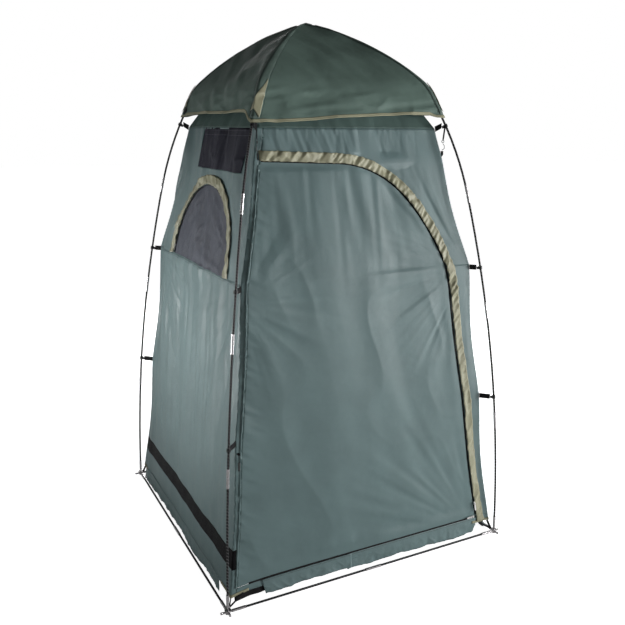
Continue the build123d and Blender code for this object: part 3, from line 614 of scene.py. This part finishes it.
def make_looks():
    green, roof, tan = (0.158, 0.240, 0.244), (0.120, 0.176, 0.152), (0.300, 0.295, 0.195)
    fabric("green_cloth", green, rough=0.42, glow=0.25, shine=0.5, sheen=0.08)
    # Painted shade: the skirts are the body cloth painted darker, low down under the hem.
    fabric("skirt_cloth_painted_shade", shade(green, 0.85), rough=0.38, crumple=0.8, glow=0.1, shine=0.6)
    fabric("roof_cloth", roof, rough=0.5, crumple=0.6, shine=0.1)
    # Painted shade: the sleeves are the roof cloth painted darker, where a sleeve turns away from
    # the light.
    fabric("roof_cloth_painted_shade", shade(roof, 0.75), rough=0.5, crumple=0.6)
    # Painted shade: the shoulders are the roof cloth painted much darker, under the roof's hem.
    fabric("shoulder_cloth_painted_shade", (0.085, 0.130, 0.118), rough=0.6, shine=0.1)
    fabric("tan_tape", tan, rough=0.45, period=0.0016, weave=0.4, crumple=0.5, shine=0.5)
    fabric("tan_ribbed", tan, rough=0.65, period=0.0024, weave=0.9, crumple=0.2)
    fabric("black_mesh", (0.019, 0.020, 0.032), rough=0.6, period=0.0022, weave=1.0, shine=0.15)
    fabric("grey_mesh", (0.040, 0.048, 0.068), rough=0.5, period=0.0022, weave=1.0, shine=0.3)
    fabric("black_webbing", (0.008, 0.008, 0.009), rough=0.65, period=0.0018, weave=0.9, shine=0.2)
    fabric("drain_cloth", (0.004, 0.004, 0.005), rough=0.6, period=0.0022, weave=0.8, shine=0.1)
    fabric("zip_tape", (0.007, 0.007, 0.008), rough=0.6, period=0.0014, weave=0.6, shine=0.2)
    fabric("shock_cord", (0.7, 0.7, 0.66), rough=0.8, period=0.001, weave=0.6)
    for name, colour in (("dark_thread", (0.030, 0.045, 0.040)), ("tan_thread", (0.42, 0.40, 0.29)),
                         ("grey_thread", (0.16, 0.16, 0.19))):
        fabric(name, colour, rough=0.6, period=0.0008, weave=0.3)
    wound_rod("fibreglass", (0.010, 0.010, 0.011), (0.16, 0.16, 0.165))
    metal("steel", (0.56, 0.54, 0.55), 0.25)
    metal("zip_metal", (0.78, 0.77, 0.75), 0.3)
    moulded("hardware_black", (0.010, 0.010, 0.011), 0.45)
    moulded("barrel", (0.03, 0.035, 0.035), 0.4)


# ---- pieces ----
def shown(name, data):
    """A new object in the scene."""
    made = bpy.data.objects.new(name, data)
    bpy.context.scene.collection.objects.link(made)
    return made


def piece(name, mesh, look, slot=None, body="root", replaces=()):
    made = shown(name, mesh)
    mesh.materials.append(LOOKS[look])
    slot = slot or SLOTS.get(look, look)
    if body:
        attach(made, body)
    if replaces:
        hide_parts(*replaces)
    return made


def cut_to(corners, area):
    """Takes a sheet's width and height from its outline and does nothing more."""
    width, height = np.ptp(corners, axis=0)
    if area < 0.4 * width * height:
        return


def cloth(name, node, side, look, *, spacing=0.010, out=0.0, body="root", extra=None,
          thickness=CLOTH_THICKNESS, pick=None, held="hung", declare=True, reshape=None,
          wobble=0.0):
    """A sewn panel over one node's outline, hung with its wall's folds."""
    corners, edges = outline(node, side, pick)
    if reshape:
        corners = reshape(corners)
    edge = reach(corners[:, 1])
    at_corner = np.abs(corners[:, 0]) > edge - 0.004
    corners[:, 0] = np.where(at_corner, np.sign(corners[:, 0]) * edge, corners[:, 0])
    flat, tris, area = filled(corners, edges, spacing, wobble)
    points = seat(*flat.T, side, out, extra)
    made = piece(name, thick_mesh(name, points, tris, thickness), look, None, body, [node])
    if declare:
        cut_to(corners, area)
    return made


def stitch_row(name, path, side, out, look, body="root", extra=None):
    """A row of stitches along an (across, up) path on a wall."""
    path = np.asarray(path, float)
    first = np.arange(STITCH_PITCH / 2, arc_length(path)[-1] - STITCH_PITCH, STITCH_PITCH)
    ends = [seat(*along(path, at), side, out, extra)
            for at in (first, first + STITCH_SHARE * STITCH_PITCH)]
    mesh = stitch_mesh(name, *ends, outward(side, len(first)))
    return piece(name, mesh, look, None, body)


def level_stitches(name, side, left, right, heights, out=0.0, look="dark_thread", extra=None):
    for number, height in enumerate(heights):
        stitch_row(f"{name}_{number}", [(left, height), (right, height)], side, out, look,
                   extra=extra)


def rope(name, path, side, radius, step=0.006, pucker=0.0, seed=0):
    """A thin sewn welt: a closed tube along an (across, up) path on a wall."""
    path = np.asarray(path, float)
    length = arc_length(path)[-1]
    at = np.linspace(0, length, max(3, int(length / step)))
    spine = seat(*along(path, at), side)
    girth = radius * (1 + pucker * noise(at / 0.011, 0 * at, seed) * 2)
    ahead = unit(np.gradient(spine, axis=0))
    across = unit(np.cross(ahead, outward(side, len(at))))
    up = np.cross(across, ahead)
    count = 8
    turn = 2 * math.pi * np.arange(count)[:, None] / count
    rings = np.cos(turn) * across[:, None] + np.sin(turn) * up[:, None]
    points = (spine[:, None] + girth[:, None, None] * rings).reshape(-1, 3)
    ends = [list(range(count))[::-1], list(range(len(points) - count, len(points)))]
    faces = round_quads(len(at), count).tolist() + ends
    return piece(name, new_mesh(name, points, faces, True), "green_cloth")


def flap(node, side, puckers, **settings):
    """A gathered tan flap, with stitches inside its edge."""
    cloth(f"{node}_cloth", node, side, "tan_tape", out=0.0015, extra=puckers, held="gathered",
          **settings)
    for number, ring in enumerate(loops(*outline(node, side))):
        closed = np.concatenate([ring, ring[:1]])
        even = along(closed, np.arange(0, arc_length(closed)[-1], 0.008)).T
        ahead = unit(np.roll(even, -1, 0) - np.roll(even, 1, 0))
        inset = even + np.stack([-ahead[:, 1], ahead[:, 0]], -1) * STITCH_INSET
        stitch_row(f"{node}_stitches_{number}", inset, side, 0.0018, "tan_thread", extra=puckers)


def softened(name, node, look):
    """A small sewn strip: a CAD solid's shape with rounded edges and a slight unevenness."""
    bm = bmesh.new()
    bm.from_mesh(NODES[node].data)
    bmesh.ops.remove_doubles(bm, verts=bm.verts, dist=1e-5)
    bmesh.ops.dissolve_limit(bm, angle_limit=math.radians(2), verts=bm.verts, edges=bm.edges)
    bmesh.ops.bevel(bm, geom=list(bm.edges), offset=0.0004, segments=2, profile=0.6,
                    affect="EDGES", clamp_overlap=True)
    bmesh.ops.triangulate(bm, faces=bm.faces)
    for _ in range(5):
        long_edges = [e for e in bm.edges if e.calc_length() > 0.004]
        if not long_edges:
            break
        bmesh.ops.subdivide_edges(bm, edges=long_edges, cuts=1)
        bmesh.ops.triangulate(bm, faces=bm.faces)
    bm.normal_update()
    for v in bm.verts:
        push = noise(v.co.x / 0.006 + v.co.y / 0.006, v.co.z / 0.005, 3)
        v.co += v.normal * 0.0003 * float(push)
    mesh = bpy.data.meshes.new(name)
    bm.to_mesh(mesh)
    bm.free()
    mesh.polygons.foreach_set("use_smooth", np.ones(len(mesh.polygons), bool))
    return piece(name, mesh, look, replaces=[node])


# ---- walls ----
def make_walls():
    for node, spacing, held in (("front_strip_left", 0.005, "hung"),
                                ("front_header", 0.0055, "gathered"),
                                ("front_strip_right", 0.007, "hung"),
                                ("front_sill", 0.007, "hung")):
        cloth(f"{node}_cloth", node, "front", "green_cloth", spacing=spacing, held=held)
    for side, spacing in (("left", 0.009), ("back", 0.013), ("right", 0.013)):
        for node in (f"{side}_wall_lower", f"{side}_wall_upper"):
            cloth(f"{node}_cloth", node, side, "green_cloth", spacing=spacing)
        cloth(f"{side}_hem_panel", "hem_panels", side, "green_cloth", spacing=spacing)
        cloth(f"{side}_drain_mesh", "drain_mesh", side, "drain_cloth")
    cloth("front_drain_mesh", "drain_mesh", "front", "drain_cloth", spacing=0.005, declare=False)
    for side in SIDES:
        cloth(f"{side}_shoulder", "shoulder_panels", side, "shoulder_cloth_painted_shade", spacing=0.012)
        cloth(f"{side}_hem_binding", "hem_binding", side, "tan_ribbed", spacing=0.006, out=0.0016,
              thickness=0.0028, declare=False)
        level_stitches(f"{side}_eave_stitches", side, 0.012 - EAVE_REACH, EAVE_REACH - 0.012,
                       (EAVE_Z - 0.006, EAVE_Z + 0.006))
        if side != "front":
            level_stitches(f"{side}_seam_stitches", side, 0.012 - SEAM_REACH, SEAM_REACH - 0.012,
                           (SEAM_Z - 0.006, SEAM_Z - 0.012))
            welt = [(-SEAM_REACH + 0.004, SEAM_Z), (SEAM_REACH - 0.004, SEAM_Z)]
            rope(f"{side}_seam_welt", welt, side, 0.0013)


# ---- door ----
def flap_puckers(x, z):
    """The storm flap is drawn up along its stitches, and less so on the straight run."""
    gathers = fold(x * 1.2 - z, x + z, 0.0085, 0.017, 0.05, 31)
    gathers += ridge(x - z, x + z, 0.004, 0.03, 0.09, 32)
    straight = ramp(1.1 - z, 0.0, 0.2)
    gathers = gathers * (1 - 0.55 * straight) + straight * fold(x, z, 0.004, 0.02, 0.07, 33)
    return 0.0035 + gathers


def at_heights(corners, heights):
    return np.stack([corners[:, 0], heights], -1)


def to_hem(corners):
    """The flap's foot runs down to the hem."""
    z = corners[:, 1]
    return at_heights(corners, np.where(z < 0.095, z - 0.020, z))


def raised_top(corners):
    """Round the arch the door and its zip reach a little under the flap."""
    away = unit(np.clip(corners - np.array([0.15, 1.05]), 1e-6, None))
    return corners + away * 0.0045 * ramp(corners[:, 1], 1.03, 1.20)[:, None]


def thin_zip(corners):
    """The zip tape's top edge lies under the door's folded edge."""
    z = corners[:, 1]
    return at_heights(corners, z.min() - 0.0035 + (z - z.min()) * 0.7)


def beside_seam(top, low, count, aside):
    """A path down the door's sewn edge, or a little beside it."""
    heights = np.linspace(top, low, count)
    return np.stack([sewn_edge(heights) + aside, heights], -1)


def make_door():
    flap("storm_flap", "front", flap_puckers, spacing=0.0042, reshape=to_hem, wobble=0.0016)
    panel = cloth("door_cloth", "door_panel", "front", "green_cloth", spacing=0.0072, body=None,
                  reshape=raised_top)
    zip_tape = cloth("door_zip_tape", "door_zip", "front", "zip_tape", spacing=0.004, out=0.0010,
                     body=None, declare=False, reshape=raised_top)
    lower = cloth("bottom_zip_tape", "bottom_zip", "front", "zip_tape", spacing=0.005, out=0.0010,
                  body=None, declare=False, reshape=thin_zip)
    sewn = beside_seam(DOOR_TOP_Z - 0.03, 0.10, 60, 0.0065)
    seam = stitch_row("door_seam_stitches", sewn, "front", 0.0002, "dark_thread", body=None)
    hinge = next(j for j in frame["joints"] if j["name"] == "door_swing")
    pivot, axis = Vector(hinge["pos_m"]), Vector(hinge["axis"])
    inward = Vector((1, 0, 0))
    inward = (inward - axis * inward.dot(axis)).normalized()
    for made in (panel, zip_tape, lower, seam):
        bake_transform(made)
    welt = beside_seam(DOOR_TOP_Z - 0.012, 0.089, 90, -0.0008)
    rope("door_seam_welt", welt, "front", 0.0030, step=0.004, pucker=0.45, seed=35)
    strip = beside_seam(DOOR_TOP_Z - 0.012, 0.089, 90, -0.007)
    stitch_row("strip_seam_stitches", strip, "front", 0.0002, "dark_thread")


# ---- window, vent and inner cover ----
def mesh_pleats(x, z):
    """Pleats of the window's mesh, which is flat by its zip and stays off the inner cover."""
    folds = fold(x - 0.25 * z, z, 0.006, 0.024, 0.3, 51)
    folds = folds + fold(x + 0.5 * z, z, 0.007, 0.045, 0.2, 52)
    folds += ridge(x - 0.5 * z, z, 0.004, 0.05, 0.08, 56)
    inside_zip = ramp(WINDOW_R - from_window(x, z), 0.012, 0.05)
    return -0.0012 + inside_zip * np.maximum(folds, -0.0012)


def window_puckers(x, z):
    puckers = fold(x * 1.5 + z, z - x, 0.0085, 0.015, 0.05, 53)
    return 0.0035 + puckers + ridge(x + z, x - z, 0.003, 0.03, 0.06, 57)


def vent_folds(x, z):
    crease = 0.006 * np.exp(-((x - 0.066) / 0.005) ** 2)
    folds = fold(x, z, 0.010, 0.045, 0.15, 55) + ridge(x, z, 0.005, 0.03, 0.09, 58)
    return -0.0008 + folds - crease


def vent_to_eave(corners):
    """The vent's mesh is sewn up under the shoulder seam."""
    z = corners[:, 1]
    return at_heights(corners, np.where(z > z.max() - 0.002, EAVE_Z - 0.001, z))


def make_window():
    cloth("window_mesh_cloth", "window_mesh", "left", "grey_mesh", spacing=0.006,
          extra=mesh_pleats, thickness=0.0005)
    flap("window_flap", "left", window_puckers, spacing=0.0048, wobble=0.0026)
    cloth("window_zip_tape", "window_zip", "left", "zip_tape", spacing=0.005, out=0.0006,
          declare=False)
    cloth("vent_mesh_cloth", "vent_mesh", "left", "black_mesh", spacing=0.006, extra=vent_folds,
          thickness=0.0006, pick=(0,), reshape=vent_to_eave)
    low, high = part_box("vent_mesh")
    level_stitches("vent_stitches", "left", -high.y + 0.004, -low.y - 0.004,
                   (high.z - 0.004, high.z - 0.021), 0.0004, "grey_thread", vent_folds)


def make_cover():
    """The inner window cover hangs upright, so it is built on its own plane."""
    node = "window_cover"
    low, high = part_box(node)
    corners, edges = outline(node, "left")
    flat, tris, area = filled(corners, edges, 0.012)
    x, z = flat.T
    ripple = fold(x, z, 0.0022, 0.07, 0.4, 71) * ramp(high.z - z, 0.0, 0.05)
    local = np.stack([x, np.full_like(x, low.x) + ripple, z], -1)
    mesh = thick_mesh(node, turned(local, "left"), tris, CLOTH_THICKNESS)
    made = piece("window_cover_cloth", mesh, "green_cloth", None, "window_cover", [node])


# ---- skirts ----
def hang_skirt(name, side, left, right, top, low, node, *, out=0.0012, flare=0.008, wave=0.010,
               seed=0, round_right=False, slant_left=0.0):
    """A loose flap sewn along its top edge, with a wavy lower edge that stands out a little."""
    columns, rows = max(12, int((right - left) / 0.0055)), 15
    x = np.linspace(left, right, columns)[None, :]
    t = np.linspace(0, 1, rows)[:, None]
    bottom = low + 0.5 * wave + fold(x, 0 * x, wave, 0.13, 1, seed)
    bottom = bottom + fold(x, 0 * x, 0.4 * wave, 0.045, 1, seed + 1)
    if round_right:
        bottom = bottom + (top - low) * 0.45 * ramp(x, right - 0.028, right) ** 2
    x = x + slant_left * t * ramp(left + 0.08 - x, 0.0, 0.08)
    z = top + (bottom - top) * t
    x, z = np.broadcast_arrays(x, z)
    on_wall = seat(x.ravel(), np.full(x.size, top), side)
    folds = fold(x + 0.3 * z, z, 0.006, 0.04, 0.09, seed + 2)
    folds = folds + fold(x, z, 0.0035, 0.016, 0.03, seed + 3)
    folds = folds + ridge(x + z, x - z, 0.003, 0.035, 0.03, seed + 4)
    swing = noise(x / 0.16, 0 * x, seed + 5) + 0.5
    lift = out + (0.3 * flare + folds) * t + 0.7 * flare * t ** 1.6 * swing
    points = on_wall + outward(side) * np.clip(lift, out, SKIRT_LIMIT).ravel()[:, None]
    points[:, 2] += (z - top).ravel()
    mesh = thick_mesh(name, points, grid_triangles(rows, columns)[:, ::-1], 0.0008)
    made = piece(name, mesh, "skirt_cloth_painted_shade", replaces=[node])
    stitches = [(left + 0.006, top - 0.005), (right - 0.006, top - 0.005)]
    stitch_row(f"{name}_stitches", stitches, side, out + 0.0004, "dark_thread")


def short_sill(corners):
    """The inner sill's lower edge is turned up a little."""
    return at_heights(corners, np.maximum(corners[:, 1], 0.034))


def make_skirts():
    for seed, side in ((81, "left"), (88, "back"), (95, "right")):
        hang_skirt(f"{side}_skirt", side, -0.556, 0.484, HEM_Z + 0.010, 0.003, "ground_skirts",
                   seed=seed, wave=0.014)
    hang_skirt("front_skirt_right", "front", -0.110, 0.520, 0.085, 0.017, "front_skirt", out=0.0014,
               flare=0.005, wave=0.012, seed=111, round_right=True)
    hang_skirt("front_skirt_left", "front", -0.470, -0.090, 0.085, 0.016, "front_skirt", out=0.0036,
               flare=0.006, wave=0.016, seed=118, slant_left=0.016)
    cloth("inner_sill_cloth", "inner_sill", "front", "black_webbing", spacing=0.012, out=-0.004,
          declare=False, reshape=short_sill)


# ---- roof fly ----
# Its section from the hem up: a straight run, a tight bend, then a wide curve to the peak.
ROOF_HEM_Z, ROOF_HEM_Y = 1.702, 0.410
ROOF_LEAN, ROOF_STRAIGHT = math.radians(20.6), 0.1173
ROOF_BEND, ROOF_BEND_R = math.radians(21.7), 0.1805
ROOF_CROWN_R = 0.793
HEM_HIGH_Z, HEM_CORNER_Z, HEM_PULLED_Z = 1.738, 1.728, 1.704
# Where the hem's drop starts and ends towards each corner, and the height it drops to.
EVEN_END = (0.33, 0.375, HEM_CORNER_Z)
HEM_ENDS = {"front": ((-0.27, 0.41, HEM_PULLED_Z), EVEN_END),
            "left": (EVEN_END, (0.31, 0.41, HEM_PULLED_Z)),
            "back": (EVEN_END, EVEN_END), "right": (EVEN_END, EVEN_END)}
BINDING_WIDTH = 0.0115
SLEEVE_START = 0.014        # from the hem
PATCH_LENGTH, PATCH_WIDTH, PATCH_SLANT = 0.142, 0.055, 0.034


def roof_profile():
    """The roof's section as arc length, distance from the centre line and height."""
    heading = np.array([math.sin(ROOF_LEAN), math.cos(ROOF_LEAN)])
    hem = np.array([-ROOF_HEM_Y, ROOF_HEM_Z])
    straight = hem + np.linspace(0, ROOF_STRAIGHT, 12, endpoint=False)[:, None] * heading
    a = ROOF_LEAN + ROOF_BEND * np.linspace(0, 1, 11)
    run = np.stack([math.cos(ROOF_LEAN) - np.cos(a), np.sin(a) - math.sin(ROOF_LEAN)], -1)
    bend = hem + ROOF_STRAIGHT * heading + ROOF_BEND_R * run
    rows, (y, z), lean = [*straight, *bend[:-1]], bend[-1], a[-1]
    while y < -0.0005:
        step = min(0.008, -y / max(math.sin(lean), 1e-3))
        rows.append((y, z))
        y += step * math.sin(lean)
        z += step * math.cos(lean)
        lean += step / ROOF_CROWN_R
    rows.append((0.0, z))
    rows = np.array(rows)
    return arc_length(rows), rows[:, 0], rows[:, 1]


ROOF_ARC, ROOF_Y, ROOF_Z = roof_profile()
PEAK = ROOF_ARC[-1]


def section(arc):
    return np.interp(arc, ROOF_ARC, ROOF_Y), np.interp(arc, ROOF_ARC, ROOF_Z)


def hem_height(x, side):
    height = HEM_HIGH_Z + fold(x, 0 * x, 0.0022, 0.09, 1, len(side))
    for towards, (begins, ends, low) in zip((-1, 1), HEM_ENDS[side]):
        height = height - (HEM_HIGH_Z - low) * ramp(towards * x, begins, ends)
    return height


def hem_arc(share, side):
    """Arc length of the hem's line at a share of the half width."""
    arc = np.zeros_like(share)
    for _ in range(12):
        arc = np.interp(hem_height(share * np.abs(section(arc)[0]), side), ROOF_Z, ROOF_ARC)
    return arc


def roof_place(share, arc, side, out=0.0):
    """A point on one roof panel: share of the half width, arc length up from the hem, lift."""
    y, z = section(arc)
    (y0, z0), (y1, z1) = section(arc - 0.004), section(arc + 0.004)
    length = np.hypot(y1 - y0, z1 - z0) + TINY
    y = y - (z1 - z0) / length * out
    return turned(np.stack([share * np.abs(y), y, z + (y1 - y0) / length * out], -1), side)


def roof_relief(share, arc, seed):
    x = share * np.abs(section(arc)[0])
    slack = -0.007 * np.sin(np.pi * np.clip(arc / PEAK, 0, 1)) * (1 - share ** 2)
    folds = fold(x, arc, 0.009, 0.12, 0.10, seed)
    folds = folds + fold(x + arc, arc - 0.4 * x, 0.005, 0.05, 0.12, seed + 1)
    level = fold(arc - 0.12 * x, x, 0.0065, 0.020, 0.16, seed + 3)
    level = level + ridge(arc + 0.25 * x, x - arc, 0.004, 0.05, 0.14, seed + 4)
    folds = folds + ramp(0.17 - arc, 0.0, 0.09) * level
    folds = folds + np.exp(-arc / 0.05) * fold(x, arc, 0.006, 0.035, 0.06, seed + 2)
    return ramp(1 - np.abs(share), 0.0, 0.10) * (slack + folds)


def roof_sheet(name, side, shares, arc, lift, thickness, look, node):
    """A sheet of the roof from rows of places, turned so that its face is outside."""
    shares, arc, lift = np.broadcast_arrays(shares, arc, lift)
    points = roof_place(shares.ravel(), arc.ravel(), side, lift.ravel())
    tris = grid_triangles(*shares.shape)
    if shares[0, 0] > shares[0, -1]:
        tris = tris[:, ::-1]
    return piece(name, thick_mesh(name, points, tris, thickness), look, replaces=[node])


def sleeve_width(side, end, arc):
    """How far a pole sleeve reaches over a panel from its ridge, as a share of the half width."""
    if side == "front" and end < 0:
        return 0.068 + 0.032 * np.sin(np.pi * np.clip(arc / PEAK, 0, 1))
    return np.interp(arc, [0.0, 0.25, PEAK], [0.045, 0.06, 0.07])


def end_name(kind, side, end):
    return f"roof_{kind}_{side}_{'left' if end < 0 else 'right'}"


def sleeve(side, end, start, seed):
    """Half of a pole sleeve, on one panel: a strip from the ridge to its stitched edge, painted
    darker as shade.
    """
    arc = np.linspace(start + SLEEVE_START, PEAK - 0.03, 70)[:, None]
    u = np.linspace(0, 1, 6)[None, :]
    shares = end * (1 - sleeve_width(side, end, arc) * u)
    lift = 0.0012 + 0.0016 * np.sin(np.pi * u) + roof_relief(shares, arc, seed)
    name = end_name("sleeve", side, end)
    roof_sheet(name, side, shares, arc, lift, 0.0012, "roof_cloth_painted_shade", f"roof_{side}")
    at = np.arange(start + 0.02, PEAK - 0.03, STITCH_PITCH)
    up = outward(side, len(at), (0.0, -0.8, 0.6))
    for row, (beyond, out) in enumerate(((-0.006, 0.0016), (0.010, 0.0004))):
        share = end * (1 - sleeve_width(side, end, at) - beyond)
        level = out + roof_relief(share, at, seed)
        ends = [roof_place(share, at + step, side, level) for step in (0, 0.0034)]
        mesh = stitch_mesh(f"{name}_stitches_{row}", *ends, up)
        piece(mesh.name, mesh, "dark_thread", "roof_cloth")


def patch(side, end, start, seed):
    """The tan reinforcement where a pole leaves its sleeve: a triangle beside the ridge."""
    t = np.linspace(0, 1, 26)[:, None]
    u = np.linspace(0, 1, 12)[None, :]
    low = start + SLEEVE_START
    if side == "front":
        # From the sleeve's stitched edge towards the ridge; it is cut off by the ridge low down.
        width = sleeve_width(side, end, low + PATCH_LENGTH * t)
        across = np.minimum(width, (width + PATCH_WIDTH) * (1 - t) + 0.0008)
        shares = end * (1 - width + across * (1 - u))
        slant = PATCH_SLANT * (1 - t) * np.minimum(across * (1 - u) / 0.068, 1)
        arc = low + PATCH_LENGTH * t + slant
    elif (side, end) == ("left", 1):
        # The rest of the front left patch, carried over the ridge.
        t = 0.40 * t
        shares = 1 - (PATCH_WIDTH * (1 - t / 0.40) + 0.0004) * u
        arc = low + PATCH_LENGTH * t + (PATCH_SLANT - 0.010 * u) * (1 - t)
    else:
        shares = end * (1 - PATCH_WIDTH * (1 - 0.98 * t) * u)
        arc = low + 0.008 + (PATCH_LENGTH - 0.024) * t + 0.030 * (1 - t) * u
    lift = 0.0042 + 0.001 * noise(u * 3, t * 8, 130) + roof_relief(shares, arc, seed)
    roof_sheet(end_name("patch", side, end), side, shares, arc, lift, 0.0012, "tan_tape",
               "roof_patches")


def make_finial():
    """A small round patch sewn over the point where the four panels meet."""
    rings, count = 9, 32
    turn = 2 * np.pi * np.arange(count) / count
    radius = np.linspace(0.0005, 0.024, rings)[:, None]
    cover = np.maximum(np.abs(np.cos(turn)), np.abs(np.sin(turn))) * radius
    z = np.interp(-cover, ROOF_Y, ROOF_Z) + 0.0016
    points = np.stack([radius * np.cos(turn), radius * np.sin(turn), z], -1).reshape(-1, 3)
    tris = round_quads(rings, count)[:, [0, 3, 2, 0, 2, 1]].reshape(-1, 3)
    middle = [(0, k, k + 1) for k in range(1, count - 1)]
    mesh = thick_mesh("roof_top_patch", points, np.concatenate([tris, middle]), 0.0010)
    # Painted shade: the patch takes the darker copy of the roof cloth, as the sleeves do.
    piece("roof_top_patch", mesh, "roof_cloth_painted_shade", replaces=["roof_front"])


def make_roof():
    share = np.linspace(-1, 1, 97)
    for number, side in enumerate(SIDES):
        seed = 90 + 7 * number
        start = hem_arc(share, side)
        arc = start + (PEAK - 0.0005 - start) * np.linspace(0, 1, 84)[:, None]
        made = roof_sheet(f"roof_{side}_cloth", side, share, arc, roof_relief(share, arc, seed),
                          0.0010, "roof_cloth", f"roof_{side}")
        band = np.linspace(0, BINDING_WIDTH, 7)[:, None]
        arc = start + band
        ribs = 0.0011 * np.abs(np.sin(2 * np.pi * band / BINDING_WIDTH))
        roof_sheet(f"roof_binding_{side}", side, share, arc - 0.0006,
                   0.0008 + ribs + roof_relief(share, arc, seed), 0.0030, "tan_ribbed",
                   "roof_binding")
        for end in (-1, 1):
            at_end = hem_arc(np.array([end * 0.97]), side)[0]
            sleeve(side, end, at_end, seed)
            if (side, end) == ("front", -1) or side in ("left", "right"):
                patch(side, end, at_end, seed)
    make_finial()


# ---- hardware that keeps its CAD shape, and sewn strips ----
def dress_frame():
    looks = {
        "fibreglass": [n for n in NODES if n.startswith("leg_rods")] + ["base_rods", "crown_rods"],
        "steel": ["pole_ferrules", "tip_sleeves", "roof_elbows", "corner_hubs", "strap_rings"],
        "hardware_black": ["crown_hub", "pole_clips", "tension_hooks"],
        "shock_cord": ["shock_cords"],
        "zip_metal": ["door_slider", "door_pull", "bottom_slider", "bottom_pull", "window_slider"],
        "barrel": ["toggle_barrel"],
        "black_webbing": ["toggle_cord"],
    }
    for look, names in looks.items():
        for name in names:
            mesh = NODES[name].data
            mesh.materials.clear()
            mesh.materials.append(LOOKS[look])


def make_trim():
    for node in ("corner_tabs", "foot_straps", "tension_straps", "wall_tabs", "roof_webbing",
                 "toggle_keeper"):
        softened(f"{node}_sewn", node, "black_webbing")


# ---- camera, floor and light ----
CAMERA_PLACE, CAMERA_LENS = (-1.392, -2.775, 1.691), 42.29
CAMERA_TURN = (27.26, -14.19, 0.35)     # azimuth, elevation and roll, in degrees


def make_camera():
    azimuth, elevation, roll = (math.radians(a) for a in CAMERA_TURN)
    forward = Vector((math.cos(elevation) * math.sin(azimuth),
                      math.cos(elevation) * math.cos(azimuth), math.sin(elevation)))
    level = Vector((math.cos(azimuth), -math.sin(azimuth), 0))
    upward = level.cross(forward)
    right = level * math.cos(roll) + upward * math.sin(roll)
    up = upward * math.cos(roll) - level * math.sin(roll)
    camera = shown("camera", bpy.data.cameras.new("camera"))
    turn = Matrix((right, up, -forward)).transposed().to_4x4()
    camera.matrix_world = Matrix.Translation(CAMERA_PLACE) @ turn
    camera.data.sensor_width = 36.0
    camera.data.lens = CAMERA_LENS
    bpy.context.scene.camera = camera


def make_floor():
    bm = bmesh.new()
    bmesh.ops.create_grid(bm, x_segments=4, y_segments=4, size=30.0)
    mesh = bpy.data.meshes.new("floor")
    bm.to_mesh(mesh)
    bm.free()
    floor = shown("floor", mesh)
    floor.location.z = -0.0005
    made = new_look("floor")
    seen = made.add("LightPath").outputs["Is Camera Ray"]
    made.feed(made.shader, {"Base Color": (0.86, 0.86, 0.86, 1), "Roughness": 0.9,
                            "Emission Color": WHITE,
                            "Emission Strength": made.span(seen, 0.10, 0.94)})
    mesh.materials.append(LOOKS["floor"])


def area_light(name, place, target, size, power, spread=180.0):
    light = bpy.data.lights.new(name, "AREA")
    light.shape, light.size, light.energy = "SQUARE", size, power
    light.spread = math.radians(spread)
    made = shown(name, light)
    made.location = place
    made.rotation_euler = (Vector(target) - Vector(place)).to_track_quat("-Z", "Y").to_euler()


def make_light():
    """A white world to the camera; to the tent it is bright low down and dim on the left."""
    world = bpy.data.worlds.new("studio")
    bpy.context.scene.world = world
    made = Nodes(world)
    apart, parts = made.apart("Generated"), []
    for axis, limits in (("Z", (0.05, 0.55, 0.92, 0.03)), ("X", (-0.8, 0.2, 0.22, 1.0))):
        inputs = dict(zip(("From Min", "From Max", "To Min", "To Max"), limits))
        parts.append(made.add("MapRange", {**inputs, "Value": apart[axis]}).outputs["Result"])
    sky = made.tree.nodes["Background"]
    made.feed(sky, {"Color": WHITE, "Strength": made.math("MULTIPLY", *parts)})
    white = made.add("Background", {"Color": WHITE, "Strength": 1.0})
    seen = made.add("LightPath").outputs["Is Camera Ray"]
    mix = made.add("MixShader", {"Fac": seen, 1: sky.outputs[0], 2: white.outputs[0]})
    made.feed(made.tree.nodes["World Output"], {"Surface": mix.outputs[0]})
    area_light("key", (3.9, -2.9, 1.3), (0, 0, 1.0), 1.5, 200)
    area_light("left", (-2.7, 1.1, 0.85), (-0.5, 0, 0.9), 1.1, 5.5, 38.0)
    area_light("behind", (1.8, 3.8, 1.8), (0, 0, 1.2), 2.6, 150)
    bpy.context.scene.view_settings.view_transform = "Standard"


make_looks()
make_camera()
make_floor()
make_light()
dress_frame()
make_walls()
make_door()
make_window()
make_cover()
make_skirts()
make_roof()
make_trim()
